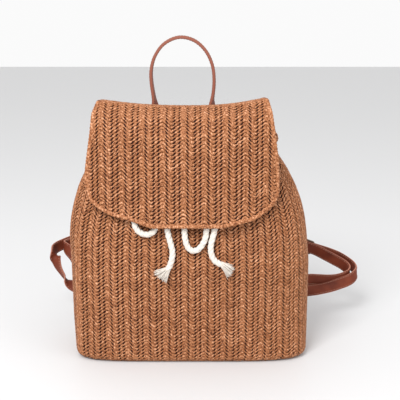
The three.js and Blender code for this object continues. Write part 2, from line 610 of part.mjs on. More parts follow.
// The places are shares of half the body's width outwards, half its depth backwards and its height, and
// so is the way that the strap's width runs there. The slider's aim is the way of the strap through it.
const STRAP_ROUTES = {
  right: {
    side: 1,
    upper: [
      { out: 0.155, back: 0.91, up: 0.745, wideOut: 1.00, wideBack: 0.0, wideUp: 0.00 },
      { out: 0.195, back: 1.18, up: 0.660, wideOut: 0.97, wideBack: 0.0, wideUp: 0.20 },
      { out: 0.285, back: 1.48, up: 0.562, wideOut: 0.90, wideBack: 0.0, wideUp: 0.45 },
      { out: 0.432, back: 1.71, up: 0.468, wideOut: 0.75, wideBack: 0.0, wideUp: 0.66 },
      { out: 0.635, back: 1.83, up: 0.394, wideOut: 0.55, wideBack: 0.0, wideUp: 0.83 },
      { out: 0.850, back: 1.855, up: 0.348, wideOut: 0.40, wideBack: 0.0, wideUp: 0.92 },
    ],
    slider: { out: 1.061, back: 1.818, up: 0.315, aimOut: 0.94, aimBack: -0.06, aimUp: -0.33 },
    outer: [
      { out: 1.290, back: 1.820, up: 0.276, wideOut: 0.10, wideBack: 0.05, wideUp: 1.00 },
      { out: 1.377, back: 1.773, up: 0.260, wideOut: 0.05, wideBack: 0.08, wideUp: 1.00 },
      { out: 1.454, back: 1.667, up: 0.241, wideOut: 0.00, wideBack: 0.12, wideUp: 1.00 },
      { out: 1.506, back: 1.530, up: 0.225, wideOut: -0.05, wideBack: 0.12, wideUp: 1.00 },
      { out: 1.519, back: 1.394, up: 0.213, wideOut: -0.05, wideBack: 0.10, wideUp: 1.00 },
      { out: 1.487, back: 1.273, up: 0.199, wideOut: -0.05, wideBack: 0.15, wideUp: 1.00 },
      { out: 1.431, back: 1.182, up: 0.188, wideOut: -0.05, wideBack: 0.25, wideUp: 1.00 },
      { out: 1.336, back: 1.106, up: 0.176, wideOut: 0.00, wideBack: 0.45, wideUp: 0.90 },
      { out: 1.252, back: 1.061, up: 0.165, wideOut: 0.00, wideBack: 0.60, wideUp: 0.80 },
      { out: 1.152, back: 1.030, up: 0.156, wideOut: 0.00, wideBack: 0.60, wideUp: 0.80 },
      { out: 1.000, back: 0.985, up: 0.152, wideOut: 0.00, wideBack: 0.25, wideUp: 1.00 },
    ],
    inner: [
      { out: 0.960, back: 1.060, up: 0.182, wideOut: 0.00, wideBack: 0.00, wideUp: 1.00 },
      { out: 1.065, back: 1.136, up: 0.196, wideOut: 0.00, wideBack: 0.00, wideUp: 1.00 },
      { out: 1.158, back: 1.167, up: 0.193, wideOut: 0.00, wideBack: 0.00, wideUp: 1.00 },
      { out: 1.260, back: 1.197, up: 0.188, wideOut: 0.00, wideBack: 0.10, wideUp: 1.00 },
      { out: 1.344, back: 1.235, up: 0.189, wideOut: 0.00, wideBack: 0.15, wideUp: 1.00 },
      { out: 1.406, back: 1.273, up: 0.197, wideOut: 0.00, wideBack: 0.10, wideUp: 1.00 },
      { out: 1.445, back: 1.333, up: 0.206, wideOut: 0.00, wideBack: 0.05, wideUp: 1.00 },
      { out: 1.455, back: 1.409, up: 0.216, wideOut: 0.00, wideBack: 0.05, wideUp: 1.00 },
      { out: 1.440, back: 1.485, up: 0.226, wideOut: 0.05, wideBack: 0.05, wideUp: 1.00 },
      { out: 1.399, back: 1.560, up: 0.240, wideOut: 0.10, wideBack: 0.05, wideUp: 1.00 },
      { out: 1.328, back: 1.640, up: 0.257, wideOut: 0.20, wideBack: 0.00, wideUp: 1.00 },
      { out: 1.250, back: 1.700, up: 0.276, wideOut: 0.30, wideBack: 0.00, wideUp: 1.00 },
    ],
  },
  left: {
    side: -1,
    upper: [
      { out: 0.155, back: 0.91, up: 0.745, wideOut: 1.00, wideBack: 0.0, wideUp: 0.00 },
      { out: 0.190, back: 1.18, up: 0.668, wideOut: 0.97, wideBack: 0.0, wideUp: 0.20 },
      { out: 0.265, back: 1.48, up: 0.580, wideOut: 0.90, wideBack: 0.0, wideUp: 0.45 },
      { out: 0.392, back: 1.70, up: 0.496, wideOut: 0.75, wideBack: 0.0, wideUp: 0.66 },
      { out: 0.568, back: 1.82, up: 0.426, wideOut: 0.55, wideBack: 0.0, wideUp: 0.83 },
    ],
    slider: { out: 0.825, back: 1.850, up: 0.372, aimOut: 0.95, aimBack: 0.02, aimUp: -0.26 },
    outer: [
      { out: 1.050, back: 1.870, up: 0.346, wideOut: 0.20, wideBack: 0.00, wideUp: 1.00 },
      { out: 1.134, back: 1.818, up: 0.333, wideOut: 0.15, wideBack: 0.00, wideUp: 1.00 },
      { out: 1.193, back: 1.727, up: 0.325, wideOut: 0.10, wideBack: 0.05, wideUp: 1.00 },
      { out: 1.232, back: 1.621, up: 0.320, wideOut: 0.10, wideBack: 0.15, wideUp: 1.00 },
      { out: 1.248, back: 1.485, up: 0.315, wideOut: 0.25, wideBack: 0.20, wideUp: 0.95 },
      { out: 1.240, back: 1.390, up: 0.304, wideOut: 0.45, wideBack: 0.30, wideUp: 0.80 },
      { out: 1.225, back: 1.318, up: 0.288, wideOut: 0.60, wideBack: 0.45, wideUp: 0.55 },
      { out: 1.197, back: 1.242, up: 0.252, wideOut: 0.62, wideBack: 0.60, wideUp: 0.25 },
      { out: 1.150, back: 1.167, up: 0.216, wideOut: 0.55, wideBack: 0.70, wideUp: 0.20 },
      { out: 1.101, back: 1.091, up: 0.187, wideOut: 0.35, wideBack: 0.75, wideUp: 0.45 },
      { out: 1.020, back: 1.010, up: 0.167, wideOut: 0.05, wideBack: 0.60, wideUp: 0.80 },
    ],
    inner: [
      { out: 0.940, back: 1.061, up: 0.190, wideOut: -0.20, wideBack: 0.10, wideUp: 1.00 },
      { out: 0.995, back: 1.240, up: 0.232, wideOut: -0.50, wideBack: 0.15, wideUp: 0.90 },
      { out: 1.052, back: 1.365, up: 0.289, wideOut: -0.40, wideBack: 0.30, wideUp: 0.90 },
      { out: 1.125, back: 1.450, up: 0.324, wideOut: -0.10, wideBack: 0.10, wideUp: 1.00 },
      { out: 1.156, back: 1.540, up: 0.332, wideOut: 0.00, wideBack: 0.00, wideUp: 1.00 },
      { out: 1.139, back: 1.630, up: 0.333, wideOut: 0.00, wideBack: 0.00, wideUp: 1.00 },
      { out: 1.070, back: 1.710, up: 0.337, wideOut: 0.20, wideBack: 0.00, wideUp: 1.00 },
    ],
  },
};
const STRAP_STEP = 13;
const BAR_PLAY = 0.35;

const ringOut = halfWidth - RING_INSET;
const bendRadius = WIRE / 2 + BAR_PLAY + STRAP_THICKNESS / 2;
const barSpacing = RING_OPENING + WIRE;
const STRAP_REACH_SHARE = 1.0278;
const strapReach = BODY_WIDTH * STRAP_REACH_SHARE / 2;

function strapRow(side, row) {
  return {
    point: new THREE.Vector3(side * row.out * strapReach, row.back * halfDepth, row.up * BODY_HEIGHT),
    across: new THREE.Vector3(side * row.wideOut, row.wideBack, row.wideUp).normalize(),
  };
}

// The slider's place, the way of the strap through it, the way of its width and its outer face.
function sliderFrame({ side, slider }) {
  const centre = new THREE.Vector3(side * slider.out * strapReach, slider.back * halfDepth, 0);
  centre.setZ(slider.up * BODY_HEIGHT);
  const aim = new THREE.Vector3(side * slider.aimOut, slider.aimBack, slider.aimUp).normalize();
  const wide = new THREE.Vector3(0, 0, 1).addScaledVector(aim, -aim.z).normalize();
  const face = new THREE.Vector3().crossVectors(aim, wide).multiplyScalar(-side);
  return { centre, aim, wide, face };
}

// Rows in a slider's own frame: how far along the strap, and how far off the plate's middle.
function sliderRows({ centre, aim, wide, face }, places) {
  return places.map(({ along, off }) => ({
    point: centre.clone().addScaledVector(aim, along).addScaledVector(face, off),
    across: wide.clone(),
  }));
}

// A half turn round a bar, from one place to the other, in the plane of two directions.
const TURN_STEPS = 6;
function halfTurn(centre, from, through, across, radius) {
  return Array.from({ length: TURN_STEPS + 1 }, (_, step) => {
    const angle = (step / TURN_STEPS) * Math.PI;
    return {
      point: centre.clone()
        .addScaledVector(from, radius * Math.cos(angle))
        .addScaledVector(through, radius * Math.sin(angle)),
      across: across.clone(),
    };
  });
}

const barPlace = SLIDER_SLOT + SLIDER_BAR;
const passOff = SLIDER_PLATE / 2 + BAR_PLAY + STRAP_THICKNESS / 2;
const wrapRadius = Math.hypot(SLIDER_BAR, SLIDER_PLATE) / 2 + GAP + STRAP_THICKNESS / 2;
const overWrap = wrapRadius + STRAP_THICKNESS + BAR_PLAY;
const up = new THREE.Vector3(0, 0, 1);
const back = new THREE.Vector3(0, 1, 0);

// The ring's wire runs round a small upright rectangle, which stands off the body by the tab's fold.
function ringCentre(side) {
  const seat = wallAt(side * (ringOut - barSpacing / 2 - 4), RING_HEIGHT, true);
  return new THREE.Vector3(side * ringOut, seat + GAP + STRAP_THICKNESS / 2 + bendRadius, RING_HEIGHT);
}

function strapStations(route) {
  const { side } = route;
  const frame = sliderFrame(route);
  const anchorX = side * ANCHOR_SPREAD / 2;
  const anchorHeight = BODY_HEIGHT - ANCHOR_DROP;
  const anchor = [anchorHeight, anchorHeight - ANCHOR_LENGTH].map((z) => ({
    point: new THREE.Vector3(anchorX, wallAt(anchorX, z, true) + GAP + STRAP_THICKNESS / 2, z),
    across: new THREE.Vector3(side, 0, 0),
  }));
  const running = sliderRows(frame, [
    { along: -barPlace - 7, off: -passOff },
    { along: -barPlace - 2, off: -passOff - 0.2 },
    { along: -barPlace + 1.8, off: -passOff - 0.1 },
    { along: -barPlace + 4.2, off: -0.2 },
    { along: -3.5, off: overWrap - 1.2 },
    { along: 0, off: overWrap },
    { along: 3.5, off: overWrap - 0.1 },
    { along: barPlace - 4, off: passOff + 1.4 },
    { along: barPlace, off: passOff },
    { along: barPlace + 6, off: passOff + 0.6 },
  ]);
  const ring = ringCentre(side);
  const outwards = new THREE.Vector3(side, 0, 0);
  const bar = ring.clone().addScaledVector(outwards, barSpacing / 2);
  const turn = halfTurn(bar, back.clone().negate(), outwards.clone().negate(), up, bendRadius);
  const wrap = sliderRows(frame, [
    { along: barPlace + 6, off: -passOff - 0.4 },
    { along: barPlace, off: -passOff },
    { along: 5, off: -wrapRadius },
    { along: 2, off: -wrapRadius },
  ]);
  const [inwards, backwards] = [frame.face.clone().negate(), frame.aim.clone().negate()];
  const fold = halfTurn(frame.centre, inwards, backwards, frame.wide, wrapRadius);
  const end = sliderRows(frame, [{ along: 3.5, off: wrapRadius }]);
  return [
    ...anchor, ...route.upper.map((row) => strapRow(side, row)), ...running,
    ...route.outer.map((row) => strapRow(side, row)), ...turn,
    ...route.inner.map((row) => strapRow(side, row)), ...wrap, ...fold, ...end,
  ];
}

// More stations on the smooth curve through the rows, none further apart than a step.
function closeStations(rows, step) {
  const points = new THREE.CatmullRomCurve3(rows.map(({ point }) => point), false, 'centripetal');
  const sides = new THREE.CatmullRomCurve3(rows.map(({ across }) => across), false, 'centripetal');
  const last = rows.length - 1;
  return rows.flatMap(({ point, across }, row) => {
    if (row === last) return [{ point, across }];
    const parts = Math.ceil(point.distanceTo(rows[row + 1].point) / step);
    return Array.from({ length: parts }, (_, part) => {
      const place = (row + part / parts) / last;
      return { point: points.getPoint(place), across: sides.getPoint(place).normalize() };
    });
  });
}

const bronze = material(BRONZE, 0.35, 0.9);

// A plate with two slots, and a bar between them.
function sliderPlate({ centre, aim, wide }) {
  const slotWidth = STRAP_WIDTH + SLOT_PLAY;
  const [length, width] = [2 * barPlace + SLIDER_BAR, slotWidth + 2 * SLIDER_BAR];
  const plate = new THREE.BoxGeometry(length, width, SLIDER_PLATE);
  const slots = [-1, 1].map((side) => {
    const slot = new THREE.BoxGeometry(SLIDER_SLOT, slotWidth, 2 * SLIDER_PLATE);
    return slot.translate(side * barPlace / 2, 0, 0);
  });
  const cut = slots.reduce((solid, slot) => solid.subtract(toManifold(slot)), toManifold(plate));
  const geometry = fromManifold(cut);
  const third = new THREE.Vector3().crossVectors(aim, wide);
  return geometry.applyMatrix4(new THREE.Matrix4().makeBasis(aim, wide, third).setPosition(centre));
}

// The wire ring: a six-sided section carried round a rectangle with cut corners.
const CORNER_CUT = 2;
function ringSolid(centre) {
  const halfBar = barSpacing / 2;
  const halfTall = (STRAP_WIDTH + RING_PLAY + WIRE) / 2;
  const [low, high] = [halfTall - CORNER_CUT, halfBar - CORNER_CUT];
  const corners = [
    [halfBar, -low], [halfBar, low], [high, halfTall], [-high, halfTall],
    [-halfBar, low], [-halfBar, -low], [-high, -halfTall], [high, -halfTall],
  ].map(([x, z]) => new THREE.Vector3(x, 0, z));
  const rings = corners.map((corner, i) => {
    const inwards = corners[(i + 7) % 8].clone().sub(corner).normalize()
      .add(corners[(i + 1) % 8].clone().sub(corner).normalize()).normalize();
    return Array.from({ length: 6 }, (_, step) => {
      const angle = step * Math.PI / 3;
      return centre.clone().add(corner)
        .addScaledVector(inwards, WIRE / 2 * Math.cos(angle))
        .addScaledVector(back, WIRE / 2 * Math.sin(angle));
    });
  });
  return skinSolid(rings, true);
}

// The tab lies on the body's back, goes round the ring's inner bar and comes back over itself.
function tabStations(side) {
  const centre = ringCentre(side);
  const outwards = new THREE.Vector3(side, 0, 0);
  const bar = centre.clone().addScaledVector(outwards, -barSpacing / 2);
  const layer = (lift) => [1, 0.7, 0.4].map((share) => {
    const x = bar.x - side * TAB_LENGTH * share;
    const seat = wallAt(x, RING_HEIGHT, true) + GAP;
    return { point: new THREE.Vector3(x, seat + lift, RING_HEIGHT), across: up };
  });
  const under = layer(STRAP_THICKNESS / 2);
  const over = layer(STRAP_THICKNESS * 1.5 + GAP).reverse();
  return [...under, ...halfTurn(bar, back.clone().negate(), outwards, up, bendRadius), ...over];
}

for (const [name, route] of Object.entries(STRAP_ROUTES)) {
  const strap = closeStations(strapStations(route), STRAP_STEP);
  addPiece(`shoulder_strap_${name}`, stripSolid(strap, STRAP_WIDTH, STRAP_THICKNESS), leather);
  addPiece(`strap_slider_${name}`, sliderPlate(sliderFrame(route)), bronze);
  addPiece(`strap_ring_${name}`, ringSolid(ringCentre(route.side)), bronze);
  addPiece(`ring_tab_${name}`, stripSolid(tabStations(route.side), STRAP_WIDTH, STRAP_THICKNESS), leather);
}

export default object;
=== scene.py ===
import math
import bpy
import numpy as np
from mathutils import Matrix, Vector


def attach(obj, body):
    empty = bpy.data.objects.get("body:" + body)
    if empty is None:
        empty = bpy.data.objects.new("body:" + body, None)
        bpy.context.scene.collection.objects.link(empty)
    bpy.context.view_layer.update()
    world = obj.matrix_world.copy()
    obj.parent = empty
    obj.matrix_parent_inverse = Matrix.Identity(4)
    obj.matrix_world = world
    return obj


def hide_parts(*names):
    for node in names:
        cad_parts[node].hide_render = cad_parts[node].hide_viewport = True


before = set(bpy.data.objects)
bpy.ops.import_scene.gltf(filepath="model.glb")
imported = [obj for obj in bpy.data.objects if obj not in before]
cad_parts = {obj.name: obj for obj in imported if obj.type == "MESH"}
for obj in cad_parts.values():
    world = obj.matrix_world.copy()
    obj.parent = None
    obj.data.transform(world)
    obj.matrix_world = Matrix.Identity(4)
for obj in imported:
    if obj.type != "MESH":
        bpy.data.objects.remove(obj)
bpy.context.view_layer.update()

# Camera
# The photograph is taken from straight in front and a little above, through a long lens.
VIEW_TARGET = Vector((0.013, 0.0, 0.184))
VIEW_DISTANCE = 1.012
VIEW_RISE = math.radians(14)

view_back = Vector((0, -math.cos(VIEW_RISE), math.sin(VIEW_RISE)))
camera = bpy.data.objects.new("camera", bpy.data.cameras.new("camera"))
camera.data.lens = 75
camera.data.sensor_width = 36
camera.location = VIEW_TARGET + view_back * VIEW_DISTANCE
camera.rotation_euler = (math.pi / 2 - VIEW_RISE, 0, 0)
bpy.context.scene.collection.objects.link(camera)
bpy.context.scene.camera = camera

# Cotton rope
# One soft three-strand cotton rope gathers the neck. It runs round inside the casing, is tied in a bow
# at the middle of the front, and its two loops and two ends hang down in front of the body.
ROPE_DIAMETER = 0.0065
ROPE_SIDES = 21
ROPE_STEP = 0.0011
ROPE_LAY = 0.019
ROPE_LOBE_DEPTH = 0.22
ROPE_END = np.array([0.35, 0.8])
COTTON_COLOUR = (0.74, 0.69, 0.62, 1)
COTTON_SHADE = (0.50, 0.41, 0.34, 1)
COTTON_LIGHT = (0.86, 0.82, 0.77, 1)
ROPE_ROUTES = {
    "bow_loop_left": (
        (-0.016, -0.0602, 0.259), (-0.024, -0.0608, 0.25), (-0.036, -0.0615, 0.233),
        (-0.048, -0.064, 0.212), (-0.058, -0.0663, 0.192), (-0.0615, -0.0676, 0.178),
        (-0.0605, -0.0686, 0.1695), (-0.0565, -0.0693, 0.164), (-0.0515, -0.0696, 0.1614),
        (-0.046, -0.0698, 0.161), (-0.0408, -0.0696, 0.1636), (-0.0374, -0.0691, 0.169),
        (-0.0345, -0.0684, 0.178), (-0.0305, -0.0667, 0.193), (-0.025, -0.0628, 0.213),
        (-0.0185, -0.0568, 0.236), (-0.0128, -0.054, 0.2523)),
    "bow_loop_right": (
        (-0.0035, -0.0526, 0.2515), (-0.004, -0.055, 0.236), (-0.0048, -0.0615, 0.213),
        (-0.0054, -0.0666, 0.193), (-0.005, -0.0692, 0.173), (-0.0042, -0.0708, 0.158),
        (-0.002, -0.0715, 0.1486), (0.0014, -0.0718, 0.1436), (0.0058, -0.0719, 0.142),
        (0.0106, -0.0718, 0.1436), (0.0152, -0.0715, 0.1486), (0.019, -0.0708, 0.1566),
        (0.0204, -0.0696, 0.17), (0.0185, -0.0673, 0.193), (0.013, -0.0646, 0.213),
        (0.0075, -0.062, 0.236), (0.0032, -0.0606, 0.2518)),
    "rope_tail_left": (
        (-0.0061, -0.0604, 0.2524), (-0.0088, -0.0624, 0.236), (-0.0134, -0.0652, 0.213),
        (-0.0192, -0.0678, 0.193), (-0.0244, -0.0694, 0.173), (-0.023, -0.0705, 0.16),
        (-0.0204, -0.0713, 0.15), (-0.0185, -0.0718, 0.14), (-0.0196, -0.0722, 0.1305),
        (-0.022, -0.0724, 0.1238), (-0.025, -0.0725, 0.118)),
    "rope_tail_right": (
        (0.0069, -0.0544, 0.2553), (0.0144, -0.055, 0.244), (0.022, -0.0594, 0.224),
        (0.028, -0.0641, 0.203), (0.031, -0.0676, 0.185), (0.0302, -0.0694, 0.17),
        (0.0282, -0.0704, 0.16), (0.0257, -0.0712, 0.15), (0.0253, -0.0717, 0.1425),
        (0.027, -0.072, 0.135), (0.0305, -0.0721, 0.1296), (0.0352, -0.0721, 0.1266),
        (0.0408, -0.072, 0.1248)),
}
SIDEWAYS, BACKWARDS, UPWARDS = np.eye(3)
NO_CHORD = 1e-4


def unit(vectors):
    """Each vector over its own length."""
    return vectors / np.linalg.norm(vectors, axis=-1, keepdims=True)


def square_to(direction, way):
    """A direction less its share along a way, made one long: direction - way * (direction . way)."""
    return unit(direction - way * np.sum(direction * way, axis=-1, keepdims=True))


def span_cubics(points):
    """The cubic of each span of a centripetal Catmull-Rom curve: its start, slope, bend and twist. A slope
    weighs the chords about a point by the square roots of their lengths."""
    padded = np.vstack([2 * points[0] - points[1], points, 2 * points[-1] - points[-2]])
    chords = np.sqrt(np.linalg.norm(np.diff(padded, axis=0), axis=1))
    middle = np.where(chords[1:-1] < NO_CHORD, 1.0, chords[1:-1])
    before = np.where(chords[:-2] < NO_CHORD, middle, chords[:-2])[:, None]
    after = np.where(chords[2:] < NO_CHORD, middle, chords[2:])[:, None]
    middle = middle[:, None]
    p0, p1, p2, p3 = padded[:-3], padded[1:-2], padded[2:-1], padded[3:]
    leave = ((p1 - p0) / before - (p2 - p0) / (before + middle) + (p2 - p1) / middle) * middle
    reach = ((p2 - p1) / middle - (p3 - p1) / (middle + after) + (p3 - p2) / after) * middle
    bend = 3 * (p2 - p1) - 2 * leave - reach
    twist = 2 * (p1 - p2) + leave + reach
    return p1, leave, bend, twist


def along_spans(points, step, *others):
    """The smooth curve through the points, sampled about every step, and other values at the same places.
    A value is start + slope t + bend t^2 + twist t^3 over each span, t from 0 to 1."""
    points = np.asarray(points, float)
    counts = np.maximum(np.ceil(np.linalg.norm(np.diff(points, axis=0), axis=1) / step), 1).astype(int)
    span = np.repeat(np.arange(len(counts)), counts)
    share = ((np.arange(len(span)) - np.repeat(np.cumsum(counts) - counts, counts)) / counts[span])[:, None]
    curves = []
    for values in (points, *others):
        values = np.asarray(values, float)
        start, slope, bend, twist = (term[span] for term in span_cubics(values))
        curve = start + share * (slope + share * (bend + share * twist))
        curves.append(np.vstack([curve, values[-1:]]))
    return curves if others else curves[0]


def line_way(points, closed=False):
    """The way of a line at each point: from the point before it to the point after it."""
    if closed:
        return unit(np.roll(points, -1, axis=0) - np.roll(points, 1, axis=0))
    return unit(np.gradient(points, axis=0))


def run_length(points, closed=False):
    """How far along the line each point is; a closed line gets one more, for its whole length."""
    if closed:
        points = np.vstack([points, points[:1]])
    return np.concatenate([[0], np.cumsum(np.linalg.norm(np.diff(points, axis=0), axis=1))])


def full_turn(sides):
    """The angles of even places round a full turn, from nought."""
    return np.arange(sides) / sides * 2 * np.pi


def rings_about(line, first, second, across, up):
    """A ring of places about each point of a line: point + first across + second up."""
    return line[:, None] + first[:, None] * across[..., None] + second[:, None] * up[..., None]


def read_off(places, lengths, values):
    """The columns of a line's values at places along it, on straight lines between its points."""
    return np.stack([np.interp(places, lengths, column) for column in values.T], axis=-1)


def tube(rings, along, around, closed=False):
    """A skin over rings of points: quads between neighbouring rings, and the end rings as caps unless the
    tube is closed. Returns points, sets of faces, and the place of each corner along and around."""
    count, sides = rings.shape[:2]
    last = count if closed else count - 1
    ring, corner = np.arange(last)[:, None], np.arange(sides)[None]
    here, there = ring * sides, (ring + 1) % count * sides
    after = (corner + 1) % sides
    quads = np.stack([here + corner, here + after, there + after, there + corner], axis=-1).reshape(-1, 4)
    u_here, u_there, v_here, v_after = np.broadcast_arrays(
        along[:last, None], along[1:last + 1, None], around[None, :-1], around[None, 1:])
    places = np.stack([u_here, v_here, u_here, v_after, u_there, v_after, u_there, v_here], axis=-1)
    faces, corners = [quads], [places.reshape(-1, 2)]
    if not closed:
        caps = np.stack([np.arange(sides)[::-1], (count - 1) * sides + np.arange(sides)])
        faces.append(caps)
        ends = np.stack([np.full(sides, along[0]), around[:-1][::-1]], axis=-1)
        tips = np.stack([np.full(sides, along[count - 1]), around[:-1]], axis=-1)
        corners.append(np.concatenate([ends, tips]))
    return rings.reshape(-1, 3), faces, corners


def joined(shapes):
    """Several shapes as one: their points and faces one after another."""
    points, faces, corners, first = [], {}, {}, 0
    for shape_points, shape_faces, shape_corners in shapes:
        points.append(shape_points)
        for face_set, corner_set in zip(shape_faces, shape_corners):
            faces.setdefault(face_set.shape[1], []).append(face_set + first)
            corners.setdefault(face_set.shape[1], []).append(corner_set)
        first += len(shape_points)
    sizes = sorted(faces)
    return (np.concatenate(points), [np.concatenate(faces[size]) for size in sizes],
            [np.concatenate(corners[size]) for size in sizes])


def add_piece(name, shape, finish, replaces):
    """A mesh object of a shape, its faces turned outwards where its signed volume says they point in."""
    points, faces, corners = shape
    volume = sum(np.sum(points[face_set[:, 0]] * np.cross(points[face_set[:, i]], points[face_set[:, i + 1]]))
                 for face_set in faces for i in range(1, face_set.shape[1] - 1))
    if volume < 0:
        faces = [face_set[:, ::-1] for face_set in faces]
        corners = [corner_set.reshape(len(face_set), -1, 2)[:, ::-1].reshape(-1, 2)
                   for face_set, corner_set in zip(faces, corners)]
    mesh = bpy.data.meshes.new(name)
    loops = np.concatenate([face_set.ravel() for face_set in faces]).astype(np.int32)
    totals = np.concatenate([np.full(len(face_set), face_set.shape[1]) for face_set in faces])
    starts = np.concatenate([[0], np.cumsum(totals)[:-1]]).astype(np.int32)
    mesh.vertices.add(len(points))
    mesh.vertices.foreach_set("co", points.astype(np.float32).ravel())
    mesh.loops.add(len(loops))
    mesh.loops.foreach_set("vertex_index", loops)
    mesh.polygons.add(len(totals))
    mesh.polygons.foreach_set("loop_start", starts)
    mesh.update(calc_edges=True)
    layer = mesh.uv_layers.new(name="UVMap")
    layer.data.foreach_set("uv", np.concatenate(corners).astype(np.float32).ravel())
    mesh.polygons.foreach_set("use_smooth", np.full(len(totals), True))
    mesh.materials.append(finish)
    piece = bpy.data.objects.new(name, mesh)
    bpy.context.scene.collection.objects.link(piece)
    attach(piece, "root")
    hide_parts(*replaces)
    return piece


def new_finish(name):
    """A new material, its node tree and its shader."""
    finish = bpy.data.materials.new(name)
    finish.use_nodes = True
    return finish, finish.node_tree, finish.node_tree.nodes["Principled BSDF"]


def add_node(tree, kind, inputs=None, **settings):
    """A shader node of a kind with its settings and input values; a value may be another node's output."""
    node = tree.nodes.new("ShaderNode" + kind)
    for key, value in settings.items():
        setattr(node, key, value)
    for key, value in (inputs or {}).items():
        if isinstance(value, bpy.types.NodeSocket):
            tree.links.new(value, node.inputs[key])
        else:
            node.inputs[key].default_value = value
    return node


def product(tree, value, factor):
    """A value times another value or a plain number."""
    return add_node(tree, "Math", {0: value, 1: factor}, operation="MULTIPLY").outputs[0]


def new_group(name, wanted, given):
    """An empty node group with named inputs, each a kind and a value, and named outputs."""
    group = bpy.data.node_groups.new(name, "ShaderNodeTree")
    for label, (kind, value) in wanted.items():
        socket = group.interface.new_socket(label, in_out="INPUT", socket_type=kind)
        socket.default_value = value
    for label, kind in given.items():
        group.interface.new_socket(label, in_out="OUTPUT", socket_type=kind)
    return group, group.nodes.new("NodeGroupInput"), group.nodes.new("NodeGroupOutput")


def fibre_group():
    """Streaks that run along a strand: noise stretched along u, one turn of the strand being one v. Also
    a slow tint, which differs from strand to strand."""
    group, given, result = new_group(
        "strand_fibres",
        {"Along": ("NodeSocketFloat", 60.0), "Across": ("NodeSocketFloat", 9.0)},
        {"Streak": "NodeSocketFloat", "Strand": "NodeSocketFloat"})
    place = add_node(group, "UVMap", uv_map="UVMap")
    parts = add_node(group, "SeparateXYZ", {"Vector": place.outputs["UV"]})
    spot = add_node(group, "CombineXYZ", {"X": product(group, parts.outputs["X"], given.outputs["Along"]),
                                          "Y": product(group, parts.outputs["Y"], given.outputs["Across"])})
    streak = add_node(group, "TexNoise",
                      {"Vector": spot.outputs["Vector"], "Scale": 1.0, "Detail": 3.0, "Roughness": 0.6})
    strand = add_node(group, "Math", {0: parts.outputs["Y"]}, operation="FLOOR")
    where = add_node(group, "CombineXYZ", {"X": product(group, parts.outputs["X"], 22.0),
                                           "Y": product(group, strand.outputs[0], 7.31)})
    tint = add_node(group, "TexNoise",
                    {"Vector": where.outputs["Vector"], "Scale": 1.0, "Detail": 1.0, "Roughness": 0.5})
    group.links.new(streak.outputs["Fac"], result.inputs["Streak"])
    group.links.new(tint.outputs["Fac"], result.inputs["Strand"])
    return group


strand_fibres = fibre_group()


def ramp_node(tree, factor, stops):
    """A colour ramp with a colour at each place."""
    ramp = add_node(tree, "ValToRGB", {"Fac": factor})
    elements = ramp.color_ramp.elements
    elements[0].position, elements[0].color = stops[0]
    elements[1].position, elements[1].color = stops[-1]
    for position, colour in stops[1:-1]:
        elements.new(position).color = colour
    return ramp


def use_group(tree, group, **values):
    """A node of a group with its input values."""
    node = tree.nodes.new("ShaderNodeGroup")
    node.node_tree = group
    for label, value in values.items():
        node.inputs[label].default_value = value
    return node


def paint(tree, shader, factor, stops):
    """Joins a colour ramp to the shader's colour."""
    tree.links.new(ramp_node(tree, factor, stops).outputs["Color"], shader.inputs["Base Color"])


def relief(tree, shader, height, strength, distance):
    """Joins a bump to the shader's normal."""
    bump = add_node(tree, "Bump", {"Height": height, "Strength": strength, "Distance": distance})
    tree.links.new(bump.outputs["Normal"], shader.inputs["Normal"])


cotton, tree, shader = new_finish("cotton_rope")
fibres = use_group(tree, strand_fibres, Along=420.0, Across=26.0)
paint(tree, shader, fibres.outputs["Streak"],
      ((0.30, COTTON_SHADE), (0.52, COTTON_COLOUR), (0.80, COTTON_LIGHT)))
relief(tree, shader, fibres.outputs["Streak"], 0.7, 0.0004)
shader.inputs["Roughness"].default_value = 0.9
shader.inputs["Sheen Weight"].default_value = 0.25


def rope_shape(points, reference, diameter=ROPE_DIAMETER, closed=False):
    """Three strands laid round each other: the radius rises at each lobe and falls in the groove between
    two, about its mean, r = R (1 + depth (|cos(1.5 angle)| - 0.5)), and the section turns once in a lay."""
    way = line_way(points, closed)
    side = square_to(reference, way)
    other = np.cross(way, side)
    along = run_length(points, closed)
    turn = along[:len(points), None] / ROPE_LAY * 2 * np.pi
    angle = full_turn(ROPE_SIDES)
    lobe = 1 + ROPE_LOBE_DEPTH * (np.abs(np.cos(1.5 * angle)) - 0.5)
    radius = np.broadcast_to(diameter / 2 * lobe, (len(points), ROPE_SIDES)).copy()
    if not closed:
        radius[:2] *= ROPE_END[:, None]
        radius[-2:] *= ROPE_END[::-1, None]
    rings = rings_about(points, side, other, radius * np.cos(angle + turn), radius * np.sin(angle + turn))
    return tube(rings, along, np.linspace(0, 1, ROPE_SIDES + 1), closed)


rope_lines = {}
for rope_name, route in ROPE_ROUTES.items():
    rope_lines[rope_name] = along_spans(route, ROPE_STEP)
    add_piece(
        rope_name + "_cotton", rope_shape(rope_lines[rope_name], BACKWARDS), cotton, (rope_name,))

# Frayed ends
# Each end of the rope is cut and left open, so that its cotton fibres have come apart in a short fan.
FRAY_FIBRES = 170
FRAY_LENGTH = 0.0118
FRAY_LEANS = {"left": (math.radians(-8), math.radians(42)), "right": (math.radians(6), math.radians(40))}
FIBRE_RADIUS = 0.00042
FIBRE_REACHES = (0.72, 1.12)
FIBRE_ROOT = 0.003
FIBRE_SIDES = 4
FIBRE_TAPER = 0.6
FIBRE_TILT = 0.16
FIBRE_BEND = 7.0
FIBRE_SEED = 11


